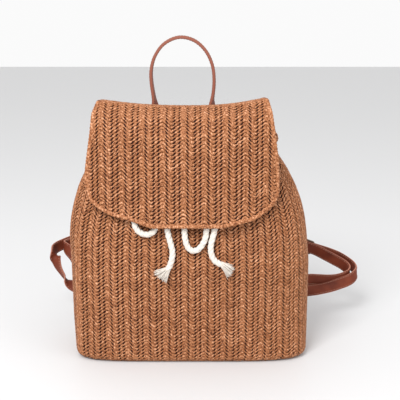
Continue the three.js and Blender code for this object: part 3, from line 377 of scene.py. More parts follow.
def fray_shape(line, leans, chance):
    """A fan of tapered fibres. Each runs the way that its lean gives, start + way s + bend s^2, with s from
    0 to its length, and is four-sided."""
    end = line[-1]
    way = unit(line[-1] - line[-4])
    side = unit(np.cross(BACKWARDS, way))
    depth = np.cross(way, side)
    lean = chance.uniform(-1, 1, FRAY_FIBRES)
    turned = leans[0] + (leans[1] - leans[0]) * (lean + 1) / 2
    tilt = chance.normal(0, FIBRE_TILT, FRAY_FIBRES)
    length = FRAY_LENGTH * chance.uniform(*FIBRE_REACHES, FRAY_FIBRES)
    across = ROPE_DIAMETER * 0.4
    roots = (end + side * (across * lean)[:, None] + depth * (across * 0.8 * tilt / 0.3)[:, None]
             - way * FIBRE_ROOT)
    ways = unit(way * np.cos(turned)[:, None] + side * np.sin(turned)[:, None] + depth * tilt[:, None])
    bends = (side * chance.normal(0, FIBRE_BEND, FRAY_FIBRES)[:, None]
             + depth * chance.normal(0, FIBRE_BEND, FRAY_FIBRES)[:, None])
    share, angle = np.linspace(0, 1, 7), full_turn(FIBRE_SIDES)
    shapes = []
    for root, fibre_way, bend, reach in zip(roots, ways, bends, length + FIBRE_ROOT):
        run = (share * reach)[:, None]
        points = root + fibre_way * run + bend * run ** 2
        ring_way = line_way(points)
        fibre_side = square_to(depth, ring_way)
        radius = (FIBRE_RADIUS * (1 - FIBRE_TAPER * share ** 2))[:, None]
        rings = rings_about(points, fibre_side, np.cross(ring_way, fibre_side), radius * np.cos(angle),
                            radius * np.sin(angle))
        shapes.append(tube(rings, share * reach, np.linspace(0, 1, FIBRE_SIDES + 1)))
    return joined(shapes)


fray_chance = np.random.default_rng(FIBRE_SEED)
frayed_ends = {}
for hand in ("left", "right"):
    fan = fray_shape(rope_lines[f"rope_tail_{hand}"], FRAY_LEANS[hand], fray_chance)
    frayed_ends[hand] = add_piece(f"frayed_end_{hand}_fibres", fan, cotton, (f"frayed_end_{hand}",))

# Straw body
# The body is one shell of woven paper straw, cut and sewn to a flat base with a rounded edge, standing
# by its own stiffness and gathered at the neck. A cotton lining shows through the open weave, and its
# near-black colour is painted shade for the shadow in the slits.
BODY_WIDTH = 0.288
BODY_DEPTH = 0.132
BODY_HEIGHT = 0.284
BASE_EDGE_RADIUS = 0.009
GATHER_DEPTH = 0.005
GATHER_COUNT = 18
BODY_SECTIONS = np.array([
    # height, left, right, front, back
    (0.000, 0.966, 0.998, 1.010, 0.925),
    (0.160, 0.984, 1.008, 1.034, 0.940),
    (0.380, 0.989, 1.010, 1.050, 0.945),
    (0.515, 0.999, 0.986, 1.030, 0.930),
    (0.585, 0.985, 0.967, 0.995, 0.910),
    (0.655, 0.955, 0.932, 0.950, 0.890),
    (0.722, 0.916, 0.883, 0.895, 0.865),
    (0.775, 0.869, 0.828, 0.840, 0.840),
    (0.824, 0.812, 0.763, 0.780, 0.815),
    (0.880, 0.725, 0.700, 0.705, 0.785),
    (0.930, 0.668, 0.648, 0.650, 0.760),
    (0.965, 0.658, 0.638, 0.650, 0.755),
    (1.000, 0.684, 0.663, 0.660, 0.730),
])
BODY_CORNERS = np.array([
    # height, front left, front right, rear, gather
    (0.000, 5.4, 5.0, 4.4, 0.00),
    (0.160, 4.2, 3.6, 4.4, 0.00),
    (0.380, 3.9, 3.3, 4.4, 0.00),
    (0.585, 3.5, 3.1, 4.8, 0.00),
    (0.655, 3.3, 3.0, 5.0, 0.05),
    (0.722, 3.1, 2.9, 5.2, 0.25),
    (0.824, 2.7, 2.7, 5.6, 0.75),
    (0.880, 2.6, 2.6, 5.8, 0.70),
    (0.930, 2.5, 2.5, 6.0, 0.30),
    (0.965, 2.5, 2.5, 6.0, 0.60),
    (1.000, 2.5, 2.5, 6.0, 1.00),
])
SOFTENING = 0.040
SOFTENING_STOPS = 17
OUTLINE_POINTS = 720
GRID_STEP = 0.001


def softened(places, table, reach):
    """The columns of a table at places between its rows: straight lines, carried on past both ends, and
    averaged over a window of the given reach that falls to nothing at its two sides."""
    first = table[0] - (table[1] - table[0]) * 4
    last = table[-1] + (table[-1] - table[-2]) * 4
    longer = np.vstack([first, table, last])
    steps = np.linspace(-1, 1, SOFTENING_STOPS)[1:-1]
    weights = 1 + np.cos(np.pi * steps)
    spots = places[:, None] + steps * reach
    columns = [np.interp(spots, longer[:, 0], column) @ weights / weights.sum()
               for column in longer.T[1:]]
    return np.array(columns)


def body_outline(height, reaches, corners, inset):
    """A superellipse with its own reach to each side and its own corners, at even steps of its length from
    the middle of the front round by the right: radius = (|sin / reach|^n + |cos / reach|^n)^(-1 / n)."""
    left, right, front, back = (reach - inset for reach in reaches)
    front_left, front_right, rear = corners
    turn = np.linspace(0, 2 * np.pi, 2 * OUTLINE_POINTS + 1)
    side, ahead = np.sin(turn), np.cos(turn)
    square = np.where(ahead >= 0, np.where(side >= 0, front_right, front_left), rear)
    across = np.abs(side / np.where(side >= 0, right, left)) ** square
    along = np.abs(ahead / np.where(ahead >= 0, front, back)) ** square
    radius = (across + along) ** (-1 / square)
    x, y = radius * side, -radius * ahead
    length = np.concatenate([[0], np.cumsum(np.hypot(np.diff(x), np.diff(y)))])
    even = np.linspace(0, length[-1], OUTLINE_POINTS + 1)
    x, y = np.interp(even, length, x), np.interp(even, length, y)
    return np.stack([x, y, np.full_like(x, height)], axis=-1)


def way_round(face):
    """The way round the body at each place of a grid whose last column is its first again."""
    inner = face[:, :-1]
    way = unit(np.roll(inner, -1, axis=1) - np.roll(inner, 1, axis=1))
    return np.concatenate([way, way[:, :1]], axis=1)


def body_surface():
    """The outer face of the shell on a grid of places up its wall by places round it, with the way out and
    the way up at each. The wall starts on a quarter round at the base."""
    quarter = BASE_EDGE_RADIUS * np.pi / 2
    up_wall = np.arange(0, quarter + BODY_HEIGHT - BASE_EDGE_RADIUS + GRID_STEP / 2, GRID_STEP)
    turn = np.minimum(up_wall / BASE_EDGE_RADIUS, np.pi / 2)
    height = BASE_EDGE_RADIUS * (1 - np.cos(turn)) + np.maximum(up_wall - quarter, 0)
    inset = BASE_EDGE_RADIUS * (1 - np.sin(turn))
    share = np.maximum(height - BASE_EDGE_RADIUS, 0) / (BODY_HEIGHT - BASE_EDGE_RADIUS)
    reaches = softened(share, BODY_SECTIONS, SOFTENING)
    reaches[:2] *= BODY_WIDTH / 2
    reaches[2:] *= BODY_DEPTH / 2
    front_left, front_right, rear, gather = softened(share, BODY_CORNERS, SOFTENING)
    corners = np.stack([front_left, front_right, rear])
    face = np.stack([body_outline(height[i], reaches[:, i], corners[:, i], inset[i])
                     for i in range(len(up_wall))])
    round_share = np.linspace(0, 1, OUTLINE_POINTS + 1)
    pleat = (1 - np.cos(round_share * GATHER_COUNT * 2 * np.pi)) / 2
    way = way_round(face)
    out = np.stack([way[..., 1], -way[..., 0], np.zeros_like(way[..., 0])], axis=-1)
    face = face - out * (np.maximum(gather, 0)[:, None] * GATHER_DEPTH * pleat)[..., None]
    up_way = unit(np.gradient(face, axis=0))
    return up_wall, face, unit(np.cross(way_round(face), up_way)), up_way


def on_grid(grid, row, column):
    """The value of a grid at fractional rows and columns, on straight lines both ways."""
    row = np.clip(row, 0, grid.shape[0] - 1.001)
    column = np.clip(column, 0, grid.shape[1] - 1.001)
    r, c = row.astype(int), column.astype(int)
    fr, fc = (row - r)[..., None], (column - c)[..., None]
    low = grid[r, c] * (1 - fc) + grid[r, c + 1] * fc
    high = grid[r + 1, c] * (1 - fc) + grid[r + 1, c + 1] * fc
    return low * (1 - fr) + high * fr


wall_places, body_face, body_out, body_up = body_surface()

# Weave
# Flat strands of twisted paper straw lie in rows one above another, each bent up and down in a zigzag
# and bound by its neighbours, which leaves three upright columns of small dark slits in each zigzag.
ROW_PITCH = 0.00425
ZIGZAG = 0.0085
STRAND_HALF_THICKNESS = 0.00100
STRAND_DEPTH = 0.0011
STRAND_SHARE = 0.56
SLIT_PHASES = (0.213, 0.574, 0.822)
SLIT_SHARES = (0.44, 0.47, 0.46)
SLIT_REACH = 0.054
BINDER_PHASES = (0.0, 0.42, 1.0)
BINDER_SPREAD = 0.025
ZIGZAG_PHASES = (0, 0.05, 0.40, 0.44, 0.50, 0.68, 0.72, 0.95, 1)
ZIGZAG_RISES = (0.5, 0.47, -0.47, -0.5, -0.46, -0.06, 0, 0.47, 0.5)
SAMPLE_PHASES = np.array([0, 0.055, 0.11, 0.16, 0.213, 0.265, 0.32, 0.385, 0.45, 0.52, 0.574, 0.63,
                          0.70, 0.765, 0.822, 0.88, 0.94])
SLIT_SINK = 0.00010
BINDER_PINCH = 0.09
BINDER_LIFT = 0.00015
LEAN_WINDOW = 60
LEAN_REACH = 0.00009
WIDTH_WINDOW = 14
WIDTH_REACH = 0.055
STRAND_SIDES = 6
STRAND_TURN = 0.999
WEAVE_SEED = 5


def bump_at(phase, centre, spread):
    """A smooth bump, one at its centre: exp(-(phase - centre)^2 / (2 spread^2))."""
    return np.exp(-((phase - centre) ** 2) / (2 * spread ** 2))


def sampled(periods, phases):
    """The phase of each sample of a row, and how many zigzags it has run from the first."""
    phase = np.tile(phases, len(periods))
    return phase, np.repeat(periods, len(phases)) + phase


def strand_plan(phase):
    """How a strand runs over one zigzag: its rise in zigzags, its half width in rows and its lift."""
    rise = np.interp(phase, ZIGZAG_PHASES, ZIGZAG_RISES)
    half = np.full_like(phase, STRAND_SHARE)
    lift = np.zeros_like(phase)
    for centre, share in zip(SLIT_PHASES, SLIT_SHARES):
        slit = np.exp(-np.abs((phase - centre) / SLIT_REACH) ** 3)
        half -= share * slit
        lift -= SLIT_SINK * slit
    for centre in BINDER_PHASES:
        half -= BINDER_PINCH * bump_at(phase, centre, BINDER_SPREAD)
        lift += BINDER_LIFT * bump_at(phase, centre, BINDER_SPREAD * 2)
    return rise, half, lift


def wander(chance, rows, samples, reach):
    """Slow random wandering along each row, smoothed over a window of samples."""
    noise = chance.normal(0, 1, (rows, samples))
    window = np.hanning(reach)
    kernel = np.fft.rfft(window / np.sqrt(np.sum(window ** 2)), samples)
    return np.fft.irfft(np.fft.rfft(noise, axis=1) * kernel, samples, axis=1)


def strand_shape(centres, out, up, half_width, half_thickness, row, closed):
    """A flattened six-sided strand: centre + up w cos + out t sin at six turns, from its inner side."""
    turn = -np.pi / 2 + full_turn(STRAND_SIDES)
    rings = rings_about(centres, up, out, half_width[:, None] * np.cos(turn),
                        half_thickness[:, None] * np.sin(turn))
    along = run_length(centres, closed)
    return tube(rings, along, row + np.linspace(0, STRAND_TURN, STRAND_SIDES + 1), closed)


STRAW_DARK = (0.075, 0.016, 0.003, 1)
STRAW_MID = (0.265, 0.088, 0.027, 1)
STRAW_WARM = (0.38, 0.150, 0.058, 1)
STRAW_LIGHT = (0.71, 0.375, 0.22, 1)
straw, tree, shader = new_finish("woven_paper_straw")
fibres = use_group(tree, strand_fibres, Along=430.0, Across=5.0)
strand_share = product(tree, fibres.outputs["Strand"], 0.16)
tone = add_node(tree, "Math", {0: fibres.outputs["Streak"], 1: 0.84, 2: strand_share},
                operation="MULTIPLY_ADD")
paint(tree, shader, tone.outputs[0],
      ((0.35, STRAW_DARK), (0.46, STRAW_MID), (0.54, STRAW_WARM), (0.66, STRAW_LIGHT)))
relief(tree, shader, fibres.outputs["Streak"], 0.7, 0.0004)
shader.inputs["Roughness"].default_value = 0.62
shader.inputs["Specular IOR Level"].default_value = 0.35

BODY_PERIODS = 33
BODY_PEAK = -0.0053
BODY_BANDS = {"low": (-1, 22), "middle": (22, 45), "neck": (45, 68)}
FIRST_ROW = 0.0015
WIDEST_ROW = 150
WALL_START = 0.0006
WALL_END = 0.0012
THICKNESS_REACH = 0.05
CUT_SHARE = 0.45
CUT_DEPTH = 0.0003
round_length = run_length(body_face[WIDEST_ROW, :-1], closed=True)[-1]
peak_share = BODY_PEAK / round_length
weave_chance = np.random.default_rng(WEAVE_SEED)


def body_rows(first, last, chance):
    """Rows of strands round the body: each goes once round at its height up the wall plus its zigzag. Where
    that leaves the wall, the strand is cut narrow and set deeper."""
    phase, run = sampled(np.arange(BODY_PERIODS), SAMPLE_PHASES)
    share = (run / BODY_PERIODS + peak_share) % 1
    rise, half, lift = strand_plan(phase)
    rows = np.arange(first, last)
    lean = wander(chance, len(rows), len(phase), LEAN_WINDOW)
    width = wander(chance, len(rows), len(phase), WIDTH_WINDOW)
    top = wall_places[-1] - WALL_END
    shapes = []
    for i, row in enumerate(rows):
        up_wall = FIRST_ROW + row * ROW_PITCH + ZIGZAG * rise + LEAN_REACH * lean[i]
        inside = np.clip(up_wall, WALL_START, top)
        place, spot = inside / GRID_STEP, share * OUTLINE_POINTS
        centres, out, up = (on_grid(grid, place, spot) for grid in (body_face, body_out, body_up))
        out = unit(out)
        whole = np.abs(inside - up_wall) < 1e-9
        half_width = ROW_PITCH * half * (1 + WIDTH_REACH * width[i]) * np.where(whole, 1, CUT_SHARE)
        depth = STRAND_DEPTH + np.where(whole, 0, CUT_DEPTH)
        centres = centres + out * (lift - depth)[:, None]
        thickness = np.full(len(phase), STRAND_HALF_THICKNESS) * (1 + THICKNESS_REACH * width[i])
        shapes.append(strand_shape(centres, out, unit(up), half_width, thickness, row, True))
    return joined(shapes)


for band, band_rows in BODY_BANDS.items():
    add_piece(f"body_weave_{band}", body_rows(*band_rows, weave_chance), straw, ("bag_body",))

# Lining
# A thin cotton lining lies against the inside of the straw and is what the slits show. Its near-black
# brown is painted shade: the lining's own dark brown, darkened to stand in for the shadow in the slits.
LINING_DEPTH = 0.00205
LINING_WALL = 0.0003
# Painted shade: both lining colours are near black, so that the slits read as shadow.
LINING_PAINTED_SHADE_DEEP = (0.020, 0.0025, 0.0006, 1)
LINING_PAINTED_SHADE_PALE = (0.045, 0.006, 0.0015, 1)
lining, tree, shader = new_finish("lining_painted_shade")
cloth_place = add_node(tree, "TexCoord")
cloth = add_node(tree, "TexNoise",
                 {"Vector": cloth_place.outputs["Object"], "Scale": 900.0, "Detail": 2.0})
paint(tree, shader, cloth.outputs["Fac"], ((0.35, LINING_PAINTED_SHADE_DEEP), (0.65, LINING_PAINTED_SHADE_PALE)))
relief(tree, shader, cloth.outputs["Fac"], 0.4, 0.0003)
shader.inputs["Roughness"].default_value = 0.9


def body_lining():
    """The body's surface moved in by the strands' depth, and back down a wall's thickness further in."""
    rows = np.concatenate([np.arange(0, 14, 2), np.arange(14, len(wall_places) - 3, 5)])
    columns = np.arange(0, OUTLINE_POINTS, 4)
    face, out = body_face[np.ix_(rows, columns)], body_out[np.ix_(rows, columns)]
    inner = face - out * (LINING_DEPTH + LINING_WALL)
    rings = np.concatenate([face - out * LINING_DEPTH, inner[::-1]])
    return tube(rings, np.linspace(0, 1, len(rings)), np.linspace(0, 1, len(columns) + 1))


add_piece("body_lining", body_lining(), lining, ("bag_body",))

# Base panel
# A flat oval of the same woven straw closes the body underneath, its rows running from side to side.
BASE_DEPTH = 0.0011
BASE_SAMPLES = np.array([0, 0.12, 0.213, 0.32, 0.43, 0.574, 0.70, 0.822, 0.91])
BASE_PERIOD = 0.0229
BASE_OVERLAP = 0.0004
BASE_TINT = 200


def row_runs(inside):
    """The first and last sample of each unbroken run of samples that are inside."""
    edges = np.diff(np.concatenate([[0], inside.astype(int), [0]]))
    return zip(np.nonzero(edges == 1)[0], np.nonzero(edges == -1)[0])


def base_panel():
    """Straight rows of strands on the flat base, cut where they reach its outline."""
    outline = body_face[2, :-1]
    front = outline[outline[:, 1] < 0]
    back = outline[outline[:, 1] >= 0]
    front, back = front[np.argsort(front[:, 0])], back[np.argsort(back[:, 0])]
    phase, run = sampled(np.arange(-8, 9), BASE_SAMPLES)
    x = run * BASE_PERIOD + BODY_PEAK
    rise, half, lift = strand_plan(phase)
    low = np.interp(x, front[:, 0], front[:, 1], left=1, right=1)
    high = np.interp(x, back[:, 0], back[:, 1], left=-1, right=-1)
    shapes = []
    for row in range(-16, 17):
        y = row * ROW_PITCH + ZIGZAG * rise
        inside = (y > low - BASE_OVERLAP) & (y < high + BASE_OVERLAP)
        for start, stop in row_runs(inside):
            if stop - start < 3:
                continue
            part, count = slice(start, stop), stop - start
            centres = np.stack([x[part], y[part], np.full(count, BASE_DEPTH)], axis=-1)
            out, up = np.tile(-UPWARDS, (count, 1)), np.tile(BACKWARDS, (count, 1))
            shapes.append(strand_shape(centres, out, up, ROW_PITCH * half[part],
                                       np.full(count, STRAND_HALF_THICKNESS), row + BASE_TINT, False))
    return joined(shapes)


add_piece("base_panel", base_panel(), straw, ("bag_body",))

# Rim
# The neck's cut edge is turned over and bound with one strand of straw.
RIM_HALF_WIDTH = 0.0016
RIM_HALF_THICKNESS = 0.0013
RIM_LAY = 0.003
RIM_GROOVE = 0.2
RIM_TINT = 300
EDGE_SIDES = 12


def bound_edge(line, out, up, half_width, half_thickness, lay, depth, tint):
    """A roll of straw wound round a closed edge: an oval section whose radius falls between the turns of the
    winding, 1 - depth |cos(pi (length / lay + angle / turn))|^6."""
    angle = -np.pi / 2 + full_turn(EDGE_SIDES)
    along = run_length(line, closed=True)
    winding = along[:len(line), None] / lay + angle / (2 * np.pi)
    radius = 1 - depth * np.abs(np.cos(np.pi * winding)) ** 6
    rings = rings_about(line, up, out, half_width * radius * np.cos(angle),
                        half_thickness * radius * np.sin(angle))
    return tube(rings, along, tint + np.linspace(0, STRAND_TURN, EDGE_SIDES + 1), closed=True)


rim_out, rim_up = body_out[-3, :-1], body_up[-3, :-1]
rim_line = body_face[-3, :-1] - rim_out * STRAND_DEPTH
rim_shape = bound_edge(rim_line, rim_out, rim_up, RIM_HALF_WIDTH, RIM_HALF_THICKNESS, RIM_LAY, RIM_GROOVE,
                       RIM_TINT)
add_piece("body_rim", rim_shape, straw, ("bag_body",))

# Neck casing
# A strip of the same straw is sewn round the neck as a channel, open at the middle of the front, where
# the rope comes out on both sides of the bow.
NECK_HEIGHT = 0.264
CASING_HEIGHT = 0.019
CASING_WALL = 0.0018
CASING_MOUTH = 0.056
CASING_SEAT = 0.0009
ROPE_SLACK = 0.0008
CASING_PERIODS = 31
CASING_ROWS = 7
CASING_ZIGZAG = 0.25
CASING_STRAND_SHARE = 0.95
CASING_STRAND_HALF = 0.00075
CASING_LINING = (0.0015, 0.0018)
CASING_STOPS = 181
CASING_TINT = 400
ARCH_STEP = 0.06
rope_out = CASING_SEAT + ROPE_SLACK + ROPE_DIAMETER / 2
casing_inside = rope_out + ROPE_DIAMETER / 2 + ROPE_SLACK


def body_at(share, height):
    """The body's face and its way out at a share of the way round and a height above the quarter round."""
    up_wall = height - BASE_EDGE_RADIUS + BASE_EDGE_RADIUS * np.pi / 2
    place, spot = up_wall / GRID_STEP, (share % 1) * OUTLINE_POINTS
    return on_grid(body_face, place, spot), unit(on_grid(body_out, place, spot))


neck_round = body_at(np.linspace(0, 1, OUTLINE_POINTS + 1)[:-1], np.full(OUTLINE_POINTS, NECK_HEIGHT))[0]
neck_length = run_length(neck_round, closed=True)[-1]
mouth_share = CASING_MOUTH / 2 / neck_length


def casing_point(share, turn, inner):
    """The casing's arch: seat + depth cos(turn) off the wall, at neck height + half height sin(turn)."""
    half = CASING_HEIGHT / 2 - inner
    depth = casing_inside + CASING_WALL - inner
    height = NECK_HEIGHT + half * np.sin(turn)
    wall, out = body_at(share, height)
    level = unit(out * np.array([1, 1, 0]))
    return wall + level * (CASING_SEAT + depth * np.cos(turn))[..., None], level


def casing_shape():
    """Rows of strands along the arch, from one side of its mouth round the neck to the other."""
    phase, run = sampled(np.arange(CASING_PERIODS), SAMPLE_PHASES)
    share = mouth_share + (1 - 2 * mouth_share) * (run / CASING_PERIODS)
    rise, half, lift = strand_plan(phase)
    shapes = []
    for row in range(CASING_ROWS):
        turn = ((row + 0.5) / CASING_ROWS - 0.5) * np.pi + CASING_ZIGZAG * rise
        turn = np.clip(turn, -np.pi / 2, np.pi / 2)
        centre, level = casing_point(share, turn, STRAND_DEPTH)
        ahead = casing_point(share, np.minimum(turn + ARCH_STEP, np.pi / 2), STRAND_DEPTH)[0]
        behind = casing_point(share, np.maximum(turn - ARCH_STEP, -np.pi / 2), STRAND_DEPTH)[0]
        up = unit(ahead - behind)
        out = unit(np.cross(line_way(centre), up))
        out = out * np.sign(np.sum(out * level, axis=-1, keepdims=True) + 1e-9)
        shapes.append(strand_shape(centre, out, up, ROW_PITCH * half * CASING_STRAND_SHARE,
                                   np.full(len(phase), CASING_STRAND_HALF), row + CASING_TINT, False))
    return joined(shapes)


add_piece("casing_weave", casing_shape(), straw, ("neck_casing",))


def casing_lining():
    """The arch's inner side as one thin skin."""
    shares = np.linspace(mouth_share, 1 - mouth_share, CASING_STOPS)
    turns = np.linspace(-np.pi / 2, np.pi / 2, 9)
    skins = [casing_point(shares, np.full(CASING_STOPS, turn), inner)[0]
             for inner, order in zip(CASING_LINING, (1, -1)) for turn in turns[::order]]
    return tube(np.stack(skins, axis=1), np.linspace(0, 1, CASING_STOPS), np.linspace(0, 1, len(skins) + 1))


# The casing's lining has the same near-black painted shade.
add_piece("casing_lining", casing_lining(), lining, ("neck_casing",))

# Rope in the casing and its knot
# The rope runs round the neck inside the casing, and both ends are tied in a bow knot at its mouth.
KNOT_CENTRE = np.array((-0.003, -0.0565, 0.262))
KNOT_ENTRY = np.array((0.0121, 0.003, 0.001))
KNOT_DIAMETER = 0.0060
KNOT_TURNS = (
    # centre x y z, long reach, reach backwards, tilt of the long way in degrees, long way, way across
    ((0.0, 0.0, 0.0), 0.0068, 0.0042, 8, UPWARDS, SIDEWAYS),
    ((0.0, 0.0008, 0.0034), 0.0092, 0.0036, 10, SIDEWAYS, UPWARDS),
    ((0.0, 0.0002, -0.0034), 0.0092, 0.0038, -14, SIDEWAYS, UPWARDS),
)
NECK_STOPS = 28
neck_shares = np.linspace(mouth_share, 1 - mouth_share, NECK_STOPS)
neck_wall, neck_out = body_at(neck_shares, np.full(NECK_STOPS, NECK_HEIGHT))
neck_run = neck_wall + unit(neck_out * np.array([1, 1, 0])) * rope_out
neck_route = np.vstack([KNOT_CENTRE + KNOT_ENTRY, neck_run, KNOT_CENTRE + KNOT_ENTRY * (-1, 1, 1)])
rope_lines["drawstring_neck"] = along_spans(neck_route, ROPE_STEP * 2)
add_piece(
    "drawstring_neck_cotton", rope_shape(rope_lines["drawstring_neck"], UPWARDS), cotton,
    ("drawstring_neck",))


def knot_shape():
    """Closed turns of rope round each other: centre + first cos + second sin, one upright turn round the
    waist and two level turns that it holds."""
    turn = np.linspace(0, 2 * np.pi, 61)[:-1, None]
    shapes = []
    for centre, first, second, tilt, long_way, across in KNOT_TURNS:
        angle = math.radians(tilt)
        long = long_way * math.cos(angle) + across * math.sin(angle)
        line = (KNOT_CENTRE + np.array(centre) + long * first * np.cos(turn)
                + BACKWARDS * second * np.sin(turn))
        shapes.append(rope_shape(line, across, KNOT_DIAMETER, closed=True))
    return joined(shapes)


knot_piece = add_piece("drawstring_knot_cotton", knot_shape(), cotton, ("drawstring_knot",))

for rope_name, far_end, mates in (
        ("bow_loop_left", "object", [knot_piece]),
        ("bow_loop_right", "object", []),
        ("rope_tail_left", "bare", [frayed_ends["left"]]),
        ("rope_tail_right", "bare", [frayed_ends["right"]]),
        ("drawstring_neck", "object", [])):
    line = rope_lines[rope_name]

# Flap
# The flap is one piece of woven straw sewn to the back below the rim. It folds over the mouth and hangs
# down the front over the bow, with rounded corners and a narrow rolled hem all round.
FLAP_WIDTH = 0.235
FLAP_DROP = 0.1258
CROWN_RISE = 0.0123
FLAP_WALL = 0.0024
HEM_ROLL = 0.0007
HEM_HALF_WIDTH = 0.0026
HEM_HALF_THICKNESS = 0.0018
HEM_INSET = 0.0022
HEM_STEP = 0.0008
HEM_LAY = 0.0042
HEM_GROOVE = 0.22
HEM_TINT = 600
FLAP_TINT = 500
FLAP_STRAND_DEPTH = 0.0012
FLAP_STRAND_END = 0.6
FLAP_LINING = (0.0021, 0.0024)
FLAP_LINING_SIDE = 0.003
FLAP_LINING_END = 0.002
FLAP_LINING_GRID = (120, 61)
FLAP_REACH = 0.124
FLAP_SOFTENING = 0.007
SIDE_SOFTENING = 0.003
LIFT_CURVE = 2.4
DROOP_CURVE = 24
HEM_SMOOTHING = 9
LIFT_LEFT = 0.0085
LIFT_RIGHT = 0.0113
EDGE_DROOP = 0.0022
EDGE_WRAP = 0.015
GAP = 0.0003
FLAP_PERIOD = 0.0233
FLAP_PEAK = -0.0058
FLAP_ROWS = np.array([
    # depth, drop, left, right, lift, wrap; a drop under nought stands above the crown's back edge
    (0.770, 0.163, 0.765, 0.725, 0.00, 0.00),
    (0.785, 0.108, 0.785, 0.742, 0.10, 0.00),
    (0.745, 0.062, 0.825, 0.760, 0.30, 0.00),
    (0.575, 0.012, 0.862, 0.762, 0.75, 0.10),
    (0.230, -0.010, 0.868, 0.764, 0.85, 0.10),
    (-0.180, -0.039, 0.878, 0.768, 0.85, 0.20),
    (-0.620, -0.064, 0.893, 0.776, 0.75, 0.40),
    (-0.890, 0.016, 0.932, 0.808, 0.40, 0.60),
    (-1.035, 0.175, 0.950, 0.838, 0.10, 0.80),
    (-1.072, 0.410, 0.991, 0.872, 0.00, 0.90),
    (-1.105, 0.590, 1.016, 0.885, 0.00, 1.00),
    (-1.135, 0.720, 0.987, 0.884, 0.00, 1.00),
    (-1.155, 0.790, 0.960, 0.855, 0.00, 1.00),
    (-1.165, 0.845, 0.890, 0.802, 0.00, 0.85),
    (-1.175, 0.900, 0.762, 0.708, 0.00, 0.50),
    (-1.182, 0.942, 0.560, 0.615, 0.00, 0.22),
    (-1.186, 0.972, 0.465, 0.480, 0.00, 0.10),
    (-1.190, 1.000, 0.365, 0.340, 0.00, 0.03),
])
CROWN_ROW = 4
crown_height = BODY_HEIGHT + CROWN_RISE


def wall_at(x, height, behind):
    """How far the body's front or back wall stands from the middle plane: the superellipse solved for y."""
    share = np.minimum(height / BODY_HEIGHT, 1)
    left, right, front, back = (np.interp(share, BODY_SECTIONS[:, 0], BODY_SECTIONS[:, i])
                                for i in (1, 2, 3, 4))
    front_left, front_right, rear = (np.interp(share, BODY_CORNERS[:, 0], BODY_CORNERS[:, i])
                                     for i in (1, 2, 3))
    square = np.where(behind, rear, np.where(x >= 0, front_right, front_left))
    reach = np.where(behind, back, front) * BODY_DEPTH / 2
    across = np.minimum(np.abs(x) / (np.where(x >= 0, right, left) * BODY_WIDTH / 2), 1)
    return reach * (1 - across ** square) ** (1 / square)


def flap_surface():
    """The flap's outer face on a grid of its length by places across. Each column's places lie even steps
    apart along it, and are counted from the crown. Also gives its outline as places across and along."""
    middle = np.stack([FLAP_ROWS[:, 0] * BODY_DEPTH / 2, FLAP_ROWS[:, 1] * FLAP_DROP], axis=-1)
    length = run_length(middle)
    fine = np.arange(0, length[-1] + GRID_STEP / 2, GRID_STEP)
    rows = np.column_stack([length, FLAP_ROWS])
    depth, drop, _, _, lift, wrap = softened(fine, rows, FLAP_SOFTENING)
    left, right = softened(fine, rows, SIDE_SOFTENING)[2:4]
    x = np.arange(-FLAP_REACH, FLAP_REACH + GRID_STEP / 10, GRID_STEP)
    reach = np.where(x[None] < 0, left[:, None], right[:, None]) * FLAP_WIDTH / 2
    share = np.minimum(np.abs(x)[None] / reach, 1)
    rise = (np.where(x < 0, LIFT_LEFT, LIFT_RIGHT)[None] * share ** LIFT_CURVE
            - EDGE_DROOP * share ** DROOP_CURVE)
    z = crown_height - FLAP_DROP * drop[:, None] + lift[:, None] * rise
    free = depth[:, None] * BODY_DEPTH / 2 + EDGE_WRAP * wrap[:, None] * share ** 3
    behind = np.broadcast_to(depth[:, None] > 0, z.shape)
    across = np.broadcast_to(x[None], z.shape)
    rise_on, rise_back = wall_at(across + GRID_STEP, z, behind), wall_at(across - GRID_STEP, z, behind)
    slope = (rise_on - rise_back) / (2 * GRID_STEP)
    wall = GAP + FLAP_WALL + np.where(behind, 0, HEM_ROLL)
    lying = wall_at(across, z, behind) + wall * np.hypot(1, np.minimum(np.abs(slope), 1))
    y = np.where(z > BODY_HEIGHT, free, np.where(behind, np.maximum(free, lying), np.minimum(free, -lying)))
    points = np.stack([across, y, z], axis=-1)
    steps = np.linalg.norm(np.diff(points[..., 1:], axis=0), axis=-1)
    runs = np.concatenate([np.zeros((1, len(x))), np.cumsum(steps, axis=0)])
    runs = runs - runs[int(round(length[CROWN_ROW] / GRID_STEP))]
    places = np.arange(runs.min(), runs.max(), GRID_STEP)
    face = np.stack([read_off(places, runs[:, i], points[:, i]) for i in range(len(x))], axis=1)
    left_x, right_x = -left * FLAP_WIDTH / 2, right * FLAP_WIDTH / 2
    row_places = np.arange(len(fine))

    def run_at(edge_x):
        """The place along of each fine row at an x of its own."""
        spot = (edge_x - x[0]) / GRID_STEP
        low = spot.astype(int)
        part = spot - low
        return runs[row_places, low] * (1 - part) + runs[row_places, low + 1] * part

    outline = (left_x, run_at(left_x), right_x, run_at(right_x))
    return x, places, face, runs[0], runs[-1], outline


flap_x, flap_places, flap_face, seam_run, hem_run, flap_outline = flap_surface()
flap_down = unit(np.gradient(flap_face, axis=0))
flap_across = unit(np.gradient(flap_face, axis=1))
flap_out = unit(np.cross(flap_down, flap_across))


def on_flap(x, run):
    """The flap's face, its way out and its way down at places across and along."""
    row = (run - flap_places[0]) / GRID_STEP
    column = (x - flap_x[0]) / GRID_STEP
    return (on_grid(flap_face, row, column), unit(on_grid(flap_out, row, column)),
            unit(on_grid(flap_down, row, column)))


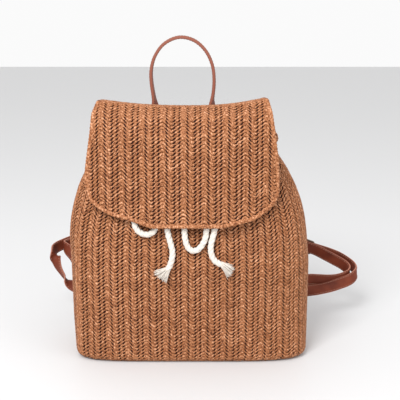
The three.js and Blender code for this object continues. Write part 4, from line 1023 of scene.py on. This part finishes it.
def flap_weave(chance):
    """Rows of strands across the flap, each cut where it reaches the hem."""
    left_x, left_run, right_x, right_run = flap_outline
    phase, run = sampled(np.arange(-6, 7), SAMPLE_PHASES)
    x = run * FLAP_PERIOD + FLAP_PEAK
    rise, half, lift = strand_plan(phase)
    first = int(np.ceil((flap_places[0] - 0.004) / ROW_PITCH))
    last = int(np.floor((flap_places[-1] + 0.004) / ROW_PITCH)) + 1
    rows = np.arange(first, last)
    lean = wander(chance, len(rows), len(phase), LEAN_WINDOW)
    width = wander(chance, len(rows), len(phase), WIDTH_WINDOW)
    top = np.interp(x, flap_x, seam_run) + HEM_INSET
    bottom = np.interp(x, flap_x, hem_run) - HEM_INSET
    shapes = []
    for i, row in enumerate(rows):
        run = row * ROW_PITCH - ZIGZAG * rise + LEAN_REACH * lean[i]
        low_x = np.interp(run, left_run, left_x) + HEM_INSET
        high_x = np.interp(run, right_run, right_x) - HEM_INSET
        inside = (run > top) & (run < bottom) & (x > low_x) & (x < high_x)
        for start, stop in row_runs(inside):
            part = np.arange(max(start - 1, 0), min(stop + 1, len(x)))
            if len(part) < 3:
                continue
            centres, out, down = on_flap(np.clip(x[part], low_x[part], high_x[part]),
                                         np.clip(run[part], top[part], bottom[part]))
            centres = centres + out * (lift[part] - FLAP_STRAND_DEPTH)[:, None]
            half_width = ROW_PITCH * half[part] * (1 + WIDTH_REACH * width[i][part])
            half_width[[0, -1]] *= FLAP_STRAND_END
            shapes.append(strand_shape(centres, out, -down, half_width,
                                       np.full(len(part), STRAND_HALF_THICKNESS), row + FLAP_TINT, False))
    return joined(shapes)


add_piece("flap_weave", flap_weave(weave_chance), straw, ("flap",))


def flap_lining():
    """One thin skin under the strands, a little inside the outline."""
    left_x, left_run, right_x, right_run = flap_outline
    stops, places = FLAP_LINING_GRID
    runs = np.linspace(left_run[2], left_run[-3], stops)
    low_x = np.interp(runs, left_run, left_x) + FLAP_LINING_SIDE
    high_x = np.interp(runs, right_run, right_x) - FLAP_LINING_SIDE
    x = low_x[:, None] + (high_x - low_x)[:, None] * np.linspace(0, 1, places)
    run = np.clip(np.broadcast_to(runs[:, None], x.shape), np.interp(x, flap_x, seam_run) + FLAP_LINING_END,
                  np.interp(x, flap_x, hem_run) - FLAP_LINING_END)
    face, out, _ = on_flap(x, run)
    rings = np.concatenate([face - out * FLAP_LINING[0], (face - out * FLAP_LINING[1])[:, ::-1]], axis=1)
    return tube(rings, np.linspace(0, 1, stops), np.linspace(0, 1, 2 * places + 1))


# The flap's lining has the same near-black painted shade.
add_piece("flap_lining", flap_lining(), lining, ("flap",))


def hem_shape():
    """The rolled hem: a wound roll along the whole outline, which is taken at even steps, smoothed over a
    window of them and set in by the roll's half width."""
    left_x, left_run, right_x, right_run = flap_outline
    seam = np.arange(left_x[0], right_x[0], GRID_STEP)
    bottom = np.arange(left_x[-1], right_x[-1], GRID_STEP)
    loop_x = np.concatenate([seam, right_x, bottom[::-1], left_x[::-1]])
    loop_run = np.concatenate([np.interp(seam, flap_x, seam_run), right_run,
                               np.interp(bottom[::-1], flap_x, hem_run), left_run[::-1]])
    spots = np.stack([loop_x, loop_run], axis=-1)
    spots = spots[np.linalg.norm(spots - np.roll(spots, 1, axis=0), axis=1) > 0.0002]
    length = run_length(spots, closed=True)
    even = np.arange(0, length[-1], HEM_STEP)
    spots = read_off(even, length, np.vstack([spots, spots[:1]]))
    window = np.pad(np.hanning(HEM_SMOOTHING), (0, len(spots) - HEM_SMOOTHING))
    kernel = np.fft.rfft(np.roll(window / window.sum(), -(HEM_SMOOTHING // 2)))
    spots = np.fft.irfft(np.fft.rfft(spots, axis=0) * kernel[:, None], len(spots), axis=0)
    way = line_way(spots, closed=True)
    inwards = np.stack([-way[:, 1], way[:, 0]], axis=-1)
    inwards *= np.sign(np.sum(inwards * (spots.mean(axis=0) - spots)))
    spots = spots + inwards * HEM_INSET
    line, out, _ = on_flap(spots[:, 0], spots[:, 1])
    line = line - out * FLAP_STRAND_DEPTH
    run_way = line_way(line, closed=True)
    up = unit(np.cross(out, run_way))
    out = unit(np.cross(run_way, up))
    return bound_edge(line, out, up, HEM_HALF_WIDTH, HEM_HALF_THICKNESS, HEM_LAY, HEM_GROOVE, HEM_TINT)


add_piece("flap_hem", hem_shape(), straw, ("flap",))

# Carrying handle
# A slim loop of brown leather, folded flat, its two ends sewn to the back below the flap's fold.
HANDLE_WIDTH = 0.012
HANDLE_THICKNESS = 0.0034
HANDLE_SPAN = 0.074
HANDLE_RISE = 0.0792
HANDLE_OFFSET = -0.008
HANDLE_TAIL = 0.0071
HANDLE_ROWS = np.array([
    # across, rise, turn in degrees
    (-0.92, -0.160, 90), (-0.93, -0.105, 62), (-0.95, -0.040, 28), (-0.97, 0.040, 10), (-1.00, 0.130, 5),
    (-1.05, 0.300, 3), (-1.06, 0.480, 1), (-0.94, 0.700, 0), (-0.62, 0.900, 0), (-0.12, 1.000, 0),
    (0.38, 0.950, 0), (0.76, 0.790, 0), (0.98, 0.570, 1), (1.04, 0.340, 3), (1.01, 0.130, 5),
    (0.98, 0.040, 10), (0.97, -0.040, 28), (0.97, -0.105, 62), (0.97, -0.160, 90),
])
STRIP_STEP = 0.0022
STRIP_CORNER = 0.0007
STRIP_CROWN = 0.00012
STRIP_END = 0.93
CORNER_POINTS = 5
FACE_POINTS = 7


def strip_profile(width, thickness):
    """A flat strip's section with rounded corners, from the middle of its back face round, and the share
    of each point that is cut edge: 1 on the two narrow sides, 0 on the two wide faces."""
    corner = STRIP_CORNER
    half_wide, half_thick = width / 2 - corner, thickness / 2 - corner
    spread = np.linspace(-0.82, 0.82, FACE_POINTS) * half_wide
    turn = np.linspace(0, np.pi / 2, CORNER_POINTS)
    across = [spread, half_wide + corner * np.sin(turn), half_wide + corner * np.cos(turn),
              -spread, -half_wide - corner * np.sin(turn), -half_wide - corner * np.cos(turn)]
    flat = np.zeros(FACE_POINTS)
    up = [flat - thickness / 2, -half_thick - corner * np.cos(turn), half_thick + corner * np.sin(turn),
          flat + thickness / 2, half_thick + corner * np.cos(turn), -half_thick - corner * np.sin(turn)]
    rim = np.clip((turn / (np.pi / 2) - 0.25) * 2, 0, 1)
    edge = [flat, rim, rim[::-1], flat, rim, rim[::-1]]
    return np.concatenate(across), np.concatenate(up), np.concatenate(edge)


def strip_frame(points, across):
    """The side and the face of a strip along its line, the side being the across turned square."""
    way = line_way(points)
    side = square_to(across, way)
    return side, np.cross(way, side)


def strip_shape(points, side, face, width, thickness):
    """A strip's section carried along its line, its wide faces a little crowned and its ends drawn in."""
    across, up, edge = strip_profile(width, thickness)
    swell = STRIP_CROWN * (1 - (2 * across / width) ** 2) * np.sign(up)
    draw = np.ones(len(points))
    draw[[0, -1]] = STRIP_END
    rings = rings_about(points, side, face, draw[:, None] * across, draw[:, None] * (up + swell))
    around = np.concatenate([[0], np.cumsum(np.hypot(np.diff(across), np.diff(up)))])
    around = np.append(around, around[-1] + 0.001)
    return tube(rings, run_length(points), around), edge


def mark_edges(piece, edge, rings):
    """Stores the share of cut edge of each point of the piece."""
    attribute = piece.data.attributes.new("cut_edge", "FLOAT", "POINT")
    attribute.data.foreach_set("value", np.tile(edge, rings).astype(np.float32))


STITCH_LENGTH = 0.0027
STITCH_PITCH = 0.0036
STITCH_RADIUS = 0.00028
STITCH_INSET = 0.0016
STITCH_SIDES = 6
STITCH_FLATTEN = 1.25
STITCH_SHARES = np.array([-0.98, -0.7, 0, 0.7, 0.98])
STITCH_STAND = 0.00012
STITCH_MARGIN = 0.003
THREAD_DARK = (0.26, 0.12, 0.08, 1)
THREAD_LIGHT = (0.42, 0.22, 0.15, 1)


def stitch_shape(points, side, face, width, thickness):
    """Rows of sewn thread on both faces of a strip. A stitch is a small six-sided spindle along the strip,
    its radius R sqrt(1 - s^2) for s from -1 to 1, half sunk in the leather."""
    length = run_length(points)
    places = (np.arange(STITCH_MARGIN, length[-1] - STITCH_MARGIN - STITCH_LENGTH, STITCH_PITCH)
              + STITCH_LENGTH / 2)
    middle, across, out, along = (read_off(places, length, values)
                                  for values in (points, side, face, line_way(points)))
    across, out, along = unit(across), unit(out), unit(along)
    radius = STITCH_RADIUS * np.sqrt(1 - STITCH_SHARES ** 2)[:, None]
    angle = full_turn(STITCH_SIDES)
    shapes = []
    for sign in (-1, 1):
        for edge in (-1, 1):
            shift = edge * (width / 2 - STITCH_INSET)
            for i in range(len(places)):
                seat = middle[i] + across[i] * shift + out[i] * sign * (thickness / 2 + STITCH_STAND)
                rings = (seat + along[i] * (STITCH_SHARES * STITCH_LENGTH / 2)[:, None, None]
                         + across[i] * (radius * np.cos(angle))[..., None] * STITCH_FLATTEN
                         + out[i] * (radius * np.sin(angle))[..., None])
                shapes.append(tube(rings, STITCH_SHARES, np.linspace(0, 1, STITCH_SIDES + 1)))
    return joined(shapes)


GRAIN_SCALE = 700.0
LEATHER_TONES = {
    # dark, light, cut edge, roughness
    "handle_leather": ((0.125, 0.026, 0.013, 1), (0.200, 0.046, 0.026, 1), (0.26, 0.09, 0.06, 1), 0.42),
    "strap_leather": ((0.095, 0.016, 0.006, 1), (0.175, 0.034, 0.013, 1), (0.36, 0.15, 0.10, 1), 0.50),
}


def leather_grain():
    """Pebbled grain: cells with dark creases between them, and soft clouds of tone over the whole skin."""
    group, given, result = new_group(
        "leather_grain", {"Scale": ("NodeSocketFloat", GRAIN_SCALE)},
        {"Grain": "NodeSocketFloat", "Clouds": "NodeSocketFloat"})
    place = add_node(group, "TexCoord")
    cells = add_node(group, "TexVoronoi", {"Vector": place.outputs["Object"]},
                     feature="DISTANCE_TO_EDGE")
    group.links.new(given.outputs["Scale"], cells.inputs["Scale"])
    soft = add_node(group, "Math", {0: cells.outputs["Distance"], 1: 2.2}, operation="MULTIPLY",
                    use_clamp=True)
    clouds = add_node(group, "TexNoise",
                      {"Vector": place.outputs["Object"], "Scale": 60.0, "Detail": 4.0})
    group.links.new(soft.outputs[0], result.inputs["Grain"])
    group.links.new(clouds.outputs["Fac"], result.inputs["Clouds"])
    return group


grain_group = leather_grain()


def leather_finish(name, dark, light, edge_colour, roughness):
    """Dyed leather with grain in its bump and roughness, and a paler tone on the cut edges."""
    finish, tree, shader = new_finish(name)
    grain = use_group(tree, grain_group)
    tone = ramp_node(tree, grain.outputs["Clouds"], ((0.30, dark), (0.70, light)))
    edge = add_node(tree, "Attribute", attribute_name="cut_edge")
    mixed = add_node(tree, "Mix", data_type="RGBA")
    tree.links.new(edge.outputs["Fac"], mixed.inputs["Factor"])
    tree.links.new(tone.outputs["Color"], mixed.inputs[6])
    mixed.inputs[7].default_value = edge_colour
    tree.links.new(mixed.outputs[2], shader.inputs["Base Color"])
    relief(tree, shader, grain.outputs["Grain"], 0.25, 0.0002)
    rough = add_node(tree, "MapRange",
                     {"Value": grain.outputs["Grain"], "To Min": roughness + 0.12, "To Max": roughness})
    tree.links.new(rough.outputs["Result"], shader.inputs["Roughness"])
    shader.inputs["Specular IOR Level"].default_value = 0.22
    return finish


leathers = {name: leather_finish(name, *tones) for name, tones in LEATHER_TONES.items()}
thread, tree, shader = new_finish("brown_thread")
thread_place = add_node(tree, "UVMap", uv_map="UVMap")
thread_wave = add_node(tree, "TexWave",
                       {"Vector": thread_place.outputs["UV"], "Scale": 2.0, "Distortion": 1.0},
                       bands_direction="DIAGONAL")
paint(tree, shader, thread_wave.outputs["Fac"], ((0.2, THREAD_DARK), (0.8, THREAD_LIGHT)))
shader.inputs["Roughness"].default_value = 0.7


def add_leather(name, line, across, width, thickness, slot_name):
    """One sewn leather strip: the strip with its cut edges marked, and its stitching."""
    side, face = strip_frame(line, across)
    shape, edge = strip_shape(line, side, face, width, thickness)
    mark_edges(add_piece(f"{name}_strip", shape, leathers[slot_name], (name,)), edge, len(line))
    stitches = stitch_shape(line, side, face, width, thickness)
    add_piece(f"{name}_stitching", stitches, thread, (name,))


turns = np.radians(HANDLE_ROWS[:, 2])
seats = []
for hand in (-1, 1):
    seat_x = HANDLE_OFFSET + hand * HANDLE_SPAN / 2
    for row in FLAP_ROWS[:3]:
        seat_z = crown_height - FLAP_DROP * row[1]
        wall = float(wall_at(np.array(seat_x), np.array(seat_z), True))
        seats.append(max(row[0] * BODY_DEPTH / 2, wall + GAP + FLAP_WALL))
handle_depth = max(seats) + GAP + HANDLE_THICKNESS / 2
handle_points = np.stack([HANDLE_OFFSET + HANDLE_ROWS[:, 0] * HANDLE_SPAN / 2,
                          np.full(len(HANDLE_ROWS), handle_depth),
                          crown_height + HANDLE_ROWS[:, 1] * HANDLE_RISE], axis=-1)
handle_sides = np.stack([np.sin(turns), np.cos(turns), np.zeros(len(turns))], axis=-1)
tail_drop = UPWARDS * HANDLE_TAIL
handle_points = np.vstack([handle_points[0] - tail_drop, handle_points, handle_points[-1] - tail_drop])
handle_sides = np.vstack([handle_sides[:1], handle_sides, handle_sides[-1:]])
handle_line, handle_across = along_spans(handle_points, STRIP_STEP, handle_sides)
add_leather("handle", handle_line, handle_across, HANDLE_WIDTH, HANDLE_THICKNESS, "handle_leather")

# Shoulder straps
# Each strap is one strip of leather. It is sewn to the top of the back, passes through its slider, turns
# round the ring at the lower corner and comes back to be sewn round the slider's middle bar.
STRAP_WIDTH = 0.015
STRAP_THICKNESS = 0.0022
ANCHOR_SPREAD = 0.044
ANCHOR_HEIGHT = 0.251
ANCHOR_LENGTH = 0.024
WIRE = 0.0024
RING_OPENING = 0.0066
RING_OUT = 0.114
RING_HEIGHT = 0.047
TAB_LENGTH = 0.026
SLIDER_PLATE = 0.0018
SLIDER_BAR = 0.002
SLIDER_SLOT = 0.009
BAR_PLAY = 0.00035
TURN_STEPS = 6
STRAP_REACH = 0.148
STRAP_ROUTES = {
    # out, back, up, then the way of the width: out, back, up
    "right": {
        "side": 1,
        "upper": (
            (0.155, 0.91, 0.745, 1.00, 0.0, 0.00), (0.195, 1.18, 0.660, 0.97, 0.0, 0.20),
            (0.285, 1.48, 0.562, 0.90, 0.0, 0.45), (0.432, 1.71, 0.468, 0.75, 0.0, 0.66),
            (0.635, 1.83, 0.394, 0.55, 0.0, 0.83), (0.850, 1.855, 0.348, 0.40, 0.0, 0.92)),
        "slider": (1.061, 1.818, 0.315, 0.94, -0.06, -0.33),
        "outer": (
            (1.290, 1.820, 0.276, 0.10, 0.05, 1.00), (1.377, 1.773, 0.260, 0.05, 0.08, 1.00),
            (1.454, 1.667, 0.241, 0.00, 0.12, 1.00), (1.506, 1.530, 0.225, -0.05, 0.12, 1.00),
            (1.519, 1.394, 0.213, -0.05, 0.10, 1.00), (1.487, 1.273, 0.199, -0.05, 0.15, 1.00),
            (1.431, 1.182, 0.188, -0.05, 0.25, 1.00), (1.336, 1.106, 0.176, 0.00, 0.45, 0.90),
            (1.252, 1.061, 0.165, 0.00, 0.60, 0.80), (1.152, 1.030, 0.156, 0.00, 0.60, 0.80),
            (1.000, 0.985, 0.152, 0.00, 0.25, 1.00)),
        "inner": (
            (0.960, 1.060, 0.182, 0.00, 0.00, 1.00), (1.065, 1.136, 0.196, 0.00, 0.00, 1.00),
            (1.158, 1.167, 0.193, 0.00, 0.00, 1.00), (1.260, 1.197, 0.188, 0.00, 0.10, 1.00),
            (1.344, 1.235, 0.189, 0.00, 0.15, 1.00), (1.406, 1.273, 0.197, 0.00, 0.10, 1.00),
            (1.445, 1.333, 0.206, 0.00, 0.05, 1.00), (1.455, 1.409, 0.216, 0.00, 0.05, 1.00),
            (1.440, 1.485, 0.226, 0.05, 0.05, 1.00), (1.399, 1.560, 0.240, 0.10, 0.05, 1.00),
            (1.328, 1.640, 0.257, 0.20, 0.00, 1.00), (1.250, 1.700, 0.276, 0.30, 0.00, 1.00)),
    },
    "left": {
        "side": -1,
        "upper": (
            (0.155, 0.91, 0.745, 1.00, 0.0, 0.00), (0.190, 1.18, 0.668, 0.97, 0.0, 0.20),
            (0.265, 1.48, 0.580, 0.90, 0.0, 0.45), (0.392, 1.70, 0.496, 0.75, 0.0, 0.66),
            (0.568, 1.82, 0.426, 0.55, 0.0, 0.83)),
        "slider": (0.825, 1.850, 0.372, 0.95, 0.02, -0.26),
        "outer": (
            (1.050, 1.870, 0.346, 0.20, 0.00, 1.00), (1.134, 1.818, 0.333, 0.15, 0.00, 1.00),
            (1.193, 1.727, 0.325, 0.10, 0.05, 1.00), (1.232, 1.621, 0.320, 0.10, 0.15, 1.00),
            (1.248, 1.485, 0.315, 0.25, 0.20, 0.95), (1.240, 1.390, 0.304, 0.45, 0.30, 0.80),
            (1.225, 1.318, 0.288, 0.60, 0.45, 0.55), (1.197, 1.242, 0.252, 0.62, 0.60, 0.25),
            (1.150, 1.167, 0.216, 0.55, 0.70, 0.20), (1.101, 1.091, 0.187, 0.35, 0.75, 0.45),
            (1.020, 1.010, 0.167, 0.05, 0.60, 0.80)),
        "inner": (
            (0.940, 1.061, 0.190, -0.20, 0.10, 1.00), (0.995, 1.240, 0.232, -0.50, 0.15, 0.90),
            (1.052, 1.365, 0.289, -0.40, 0.30, 0.90), (1.125, 1.450, 0.324, -0.10, 0.10, 1.00),
            (1.156, 1.540, 0.332, 0.00, 0.00, 1.00), (1.139, 1.630, 0.333, 0.00, 0.00, 1.00),
            (1.070, 1.710, 0.337, 0.20, 0.00, 1.00)),
    },
}
bend_radius = WIRE / 2 + BAR_PLAY + STRAP_THICKNESS / 2
bar_spacing = RING_OPENING + WIRE
bar_place = SLIDER_SLOT + SLIDER_BAR
pass_off = SLIDER_PLATE / 2 + BAR_PLAY + STRAP_THICKNESS / 2
wrap_radius = math.hypot(SLIDER_BAR, SLIDER_PLATE) / 2 + GAP + STRAP_THICKNESS / 2
over_wrap = wrap_radius + STRAP_THICKNESS + BAR_PLAY


def strap_rows(side, rows):
    """Places from shares of the strap's reach, half the depth and the height, and the ways of its width."""
    rows = np.array(rows)
    places = rows[:, :3] * (side * STRAP_REACH, BODY_DEPTH / 2, BODY_HEIGHT)
    return places, unit(rows[:, 3:] * (side, 1, 1))


def slider_frame(route):
    """The slider's place, the way of the strap through it, the way of its width, and its outer face."""
    slider = np.array(route["slider"])
    side = route["side"]
    centre = slider[:3] * (side * STRAP_REACH, BODY_DEPTH / 2, BODY_HEIGHT)
    aim = unit(slider[3:] * (side, 1, 1))
    wide = square_to(UPWARDS, aim)
    return centre, aim, wide, -side * np.cross(aim, wide)


def slider_rows(holder, places):
    """Places in a slider's own frame: how far along the strap, and how far off the plate's middle."""
    centre, aim, wide, face = holder
    places = np.array(places)
    return centre + aim * places[:, :1] + face * places[:, 1:], np.tile(wide, (len(places), 1))


def half_turn(centre, start, through, across, radius):
    """Half a turn round a bar: centre + start r cos + through r sin, from 0 to half a circle."""
    angle = np.linspace(0, np.pi, TURN_STEPS + 1)[:, None]
    return (centre + start * radius * np.cos(angle) + through * radius * np.sin(angle),
            np.tile(across, (TURN_STEPS + 1, 1)))


def ring_centre(side):
    """The middle of the ring, which stands off the back by the fold of its tab."""
    x = side * (RING_OUT - bar_spacing / 2 - 0.004)
    seat = float(wall_at(np.array(x), np.array(RING_HEIGHT), True))
    return np.array((side * RING_OUT, seat + GAP + STRAP_THICKNESS / 2 + bend_radius, RING_HEIGHT))


def strap_line(route):
    """The whole route of a strap, place by place, from its seam on the back to its end at the slider."""
    side = route["side"]
    holder = slider_frame(route)
    centre, aim, wide, face = holder
    anchor_x = side * ANCHOR_SPREAD / 2
    heights = np.array((ANCHOR_HEIGHT, ANCHOR_HEIGHT - ANCHOR_LENGTH))
    seat = wall_at(np.full(2, anchor_x), heights, True) + GAP + STRAP_THICKNESS / 2
    anchor = np.stack([np.full(2, anchor_x), seat, heights], axis=-1), np.tile(SIDEWAYS * side, (2, 1))
    running = slider_rows(holder, (
        (-bar_place - 0.007, -pass_off), (-bar_place - 0.002, -pass_off - 0.0002),
        (-bar_place + 0.0018, -pass_off - 0.0001), (-bar_place + 0.0042, -0.0002),
        (-0.0035, over_wrap - 0.0012), (0, over_wrap), (0.0035, over_wrap - 0.0001),
        (bar_place - 0.004, pass_off + 0.0014), (bar_place, pass_off),
        (bar_place + 0.006, pass_off + 0.0006)))
    bar = ring_centre(side) + SIDEWAYS * side * bar_spacing / 2
    turn = half_turn(bar, -BACKWARDS, -SIDEWAYS * side, UPWARDS, bend_radius)
    wrap = slider_rows(holder, (
        (bar_place + 0.006, -pass_off - 0.0004), (bar_place, -pass_off), (0.005, -wrap_radius),
        (0.002, -wrap_radius)))
    fold = half_turn(centre, -face, -aim, wide, wrap_radius)
    end = slider_rows(holder, ((0.0035, wrap_radius),))
    parts = (anchor, strap_rows(side, route["upper"]), running, strap_rows(side, route["outer"]), turn,
             strap_rows(side, route["inner"]), wrap, fold, end)
    return np.vstack([part[0] for part in parts]), np.vstack([part[1] for part in parts])


for hand, route in STRAP_ROUTES.items():
    places, widths = strap_line(route)
    line, across = along_spans(places, STRIP_STEP, widths)
    add_leather(f"shoulder_strap_{hand}", line, unit(across), STRAP_WIDTH, STRAP_THICKNESS, "strap_leather")

# Ring tabs
# A short leather tab sewn to each lower back corner is folded round the ring and holds it there.
for hand, route in STRAP_ROUTES.items():
    side_sign = route["side"]
    centre = ring_centre(side_sign)
    bar = centre - SIDEWAYS * side_sign * bar_spacing / 2
    tab_x = bar[0] - side_sign * TAB_LENGTH * np.array((1, 0.7, 0.4))
    seat = wall_at(tab_x, np.full(3, RING_HEIGHT), True) + GAP
    under = np.stack([tab_x, seat + STRAP_THICKNESS / 2, np.full(3, RING_HEIGHT)], axis=-1)
    over = np.stack([tab_x, seat + STRAP_THICKNESS * 1.5 + GAP, np.full(3, RING_HEIGHT)], axis=-1)[::-1]
    turn = half_turn(bar, -BACKWARDS, SIDEWAYS * side_sign, UPWARDS, bend_radius)[0]
    line = along_spans(np.vstack([under, turn, over]), STRIP_STEP / 2)
    add_leather(f"ring_tab_{hand}", line, np.tile(UPWARDS, (len(line), 1)), STRAP_WIDTH, STRAP_THICKNESS,
                "strap_leather")

# Sliders and rings
# Small cast fittings of dark bronzed metal: a slider with two slots and a middle bar on each strap, and
# an upright wire ring at each lower back corner.
BAR_ROUNDING = 0.0006
BAR_OVERLAP = 0.0004
SLIDER_ROUNDING = 0.0017
RING_ROUNDING = 0.0026
RING_PLAY = 0.002
SLOT_PLAY = 0.001
WIRE_SIDES = 14
BRONZE_DARK = (0.10, 0.068, 0.048, 1)
BRONZE_LIGHT = (0.24, 0.165, 0.115, 1)
bronze, tree, shader = new_finish("dark_bronze")
metal_place = add_node(tree, "TexCoord")
metal_noise = add_node(tree, "TexNoise",
                       {"Vector": metal_place.outputs["Object"], "Scale": 260.0, "Detail": 4.0})
paint(tree, shader, metal_noise.outputs["Fac"], ((0.3, BRONZE_DARK), (0.7, BRONZE_LIGHT)))
metal_rough = add_node(tree, "MapRange",
                       {"Value": metal_noise.outputs["Fac"], "To Min": 0.28, "To Max": 0.48})
tree.links.new(metal_rough.outputs["Result"], shader.inputs["Roughness"])
relief(tree, shader, metal_noise.outputs["Fac"], 0.15, 0.0002)
shader.inputs["Metallic"].default_value = 0.9


def rounded_loop(half_long, half_wide, corner, points):
    """A rectangle with round corners, as places in its own plane: each corner a quarter circle."""
    turn = np.linspace(0, np.pi / 2, points)
    corners = []
    for quarter, (x, y) in enumerate(((1, 1), (-1, 1), (-1, -1), (1, -1))):
        angle = turn + quarter * np.pi / 2
        corners.append(np.stack([x * (half_long - corner) + corner * np.cos(angle),
                                 y * (half_wide - corner) + corner * np.sin(angle)], axis=-1))
    return np.concatenate(corners)


def loop_shape(centre, first, second, loop, profile):
    """A profile carried round a flat loop: across lies in the loop's plane, up square to it."""
    across, up = profile
    line = centre + first * loop[:, :1] + second * loop[:, 1:]
    way = line_way(line, closed=True)
    normal = np.cross(first, second)
    inwards = unit(np.cross(np.tile(normal, (len(line), 1)), way))
    rings = line[:, None] + inwards[:, None] * across[:, None] + normal * up[:, None]
    return tube(rings, run_length(line, closed=True), np.linspace(0, 1, len(across) + 1), True)


for hand, route in STRAP_ROUTES.items():
    centre, aim, wide, face = slider_frame(route)
    slot_width = STRAP_WIDTH + SLOT_PLAY
    profile = rounded_loop(SLIDER_BAR / 2, SLIDER_PLATE / 2, BAR_ROUNDING, 5).T
    frame_loop = rounded_loop(bar_place, (slot_width + SLIDER_BAR) / 2, SLIDER_ROUNDING, 9)
    outer_frame = loop_shape(centre, aim, wide, frame_loop, profile)
    bar_reach = slot_width / 2 + BAR_OVERLAP
    bar_line = centre + wide * np.linspace(-bar_reach, bar_reach, 5)[:, None]
    rings = bar_line[:, None] + aim * profile[0][:, None] + np.cross(aim, wide) * profile[1][:, None]
    middle_bar = tube(rings, run_length(bar_line), np.linspace(0, 1, len(profile[0]) + 1))
    add_piece(f"strap_slider_{hand}_metal", joined([outer_frame, middle_bar]), bronze,
              (f"strap_slider_{hand}",))
    ring_loop = rounded_loop(bar_spacing / 2, (STRAP_WIDTH + RING_PLAY + WIRE) / 2, RING_ROUNDING, 9)
    wire = WIRE / 2 * np.cos(full_turn(WIRE_SIDES)), WIRE / 2 * np.sin(full_turn(WIRE_SIDES))
    add_piece(f"strap_ring_{hand}_metal",
              loop_shape(ring_centre(route["side"]), SIDEWAYS, UPWARDS, ring_loop, wire), bronze,
              (f"strap_ring_{hand}",))

# Table and light
# A plain pale table stands under even white light from all round, a little stronger from the upper left.
TABLE_REACH = 4
floor_mesh = bpy.data.meshes.new("table")
floor_corners = ((-1, -1), (1, -1), (1, 1), (-1, 1))
floor_mesh.from_pydata([(x * TABLE_REACH, y * TABLE_REACH, 0) for x, y in floor_corners], [], [(0, 1, 2, 3)])
floor_piece = bpy.data.objects.new("table", floor_mesh)
bpy.context.scene.collection.objects.link(floor_piece)
table_white, tree, shader = new_finish("table_white")
shader.inputs["Base Color"].default_value = (0.64, 0.64, 0.645, 1)
shader.inputs["Roughness"].default_value = 0.5
floor_mesh.materials.append(table_white)

world = bpy.data.worlds.new("studio")
world.use_nodes = True
world.node_tree.nodes["Background"].inputs["Color"].default_value = (1.0, 1.0, 1.0, 1)
world.node_tree.nodes["Background"].inputs["Strength"].default_value = 0.96
bpy.context.scene.world = world
bpy.context.scene.view_settings.view_transform = "Standard"


def soft_light(name, place, aim, size, power):
    """A square soft light at a place, aimed at a point."""
    light = bpy.data.lights.new(name, "AREA")
    light.size = size
    light.energy = power
    lamp = bpy.data.objects.new(name, light)
    lamp.location = place
    lamp.rotation_euler = (Vector(aim) - Vector(place)).to_track_quat("-Z", "Y").to_euler()
    bpy.context.scene.collection.objects.link(lamp)


soft_light("key", (-0.6, -1.3, 1.5), (0, 0, 0.15), 0.8, 36)
soft_light("fill", (1.5, -0.9, 0.9), (0, 0, 0.15), 1.0, 6)
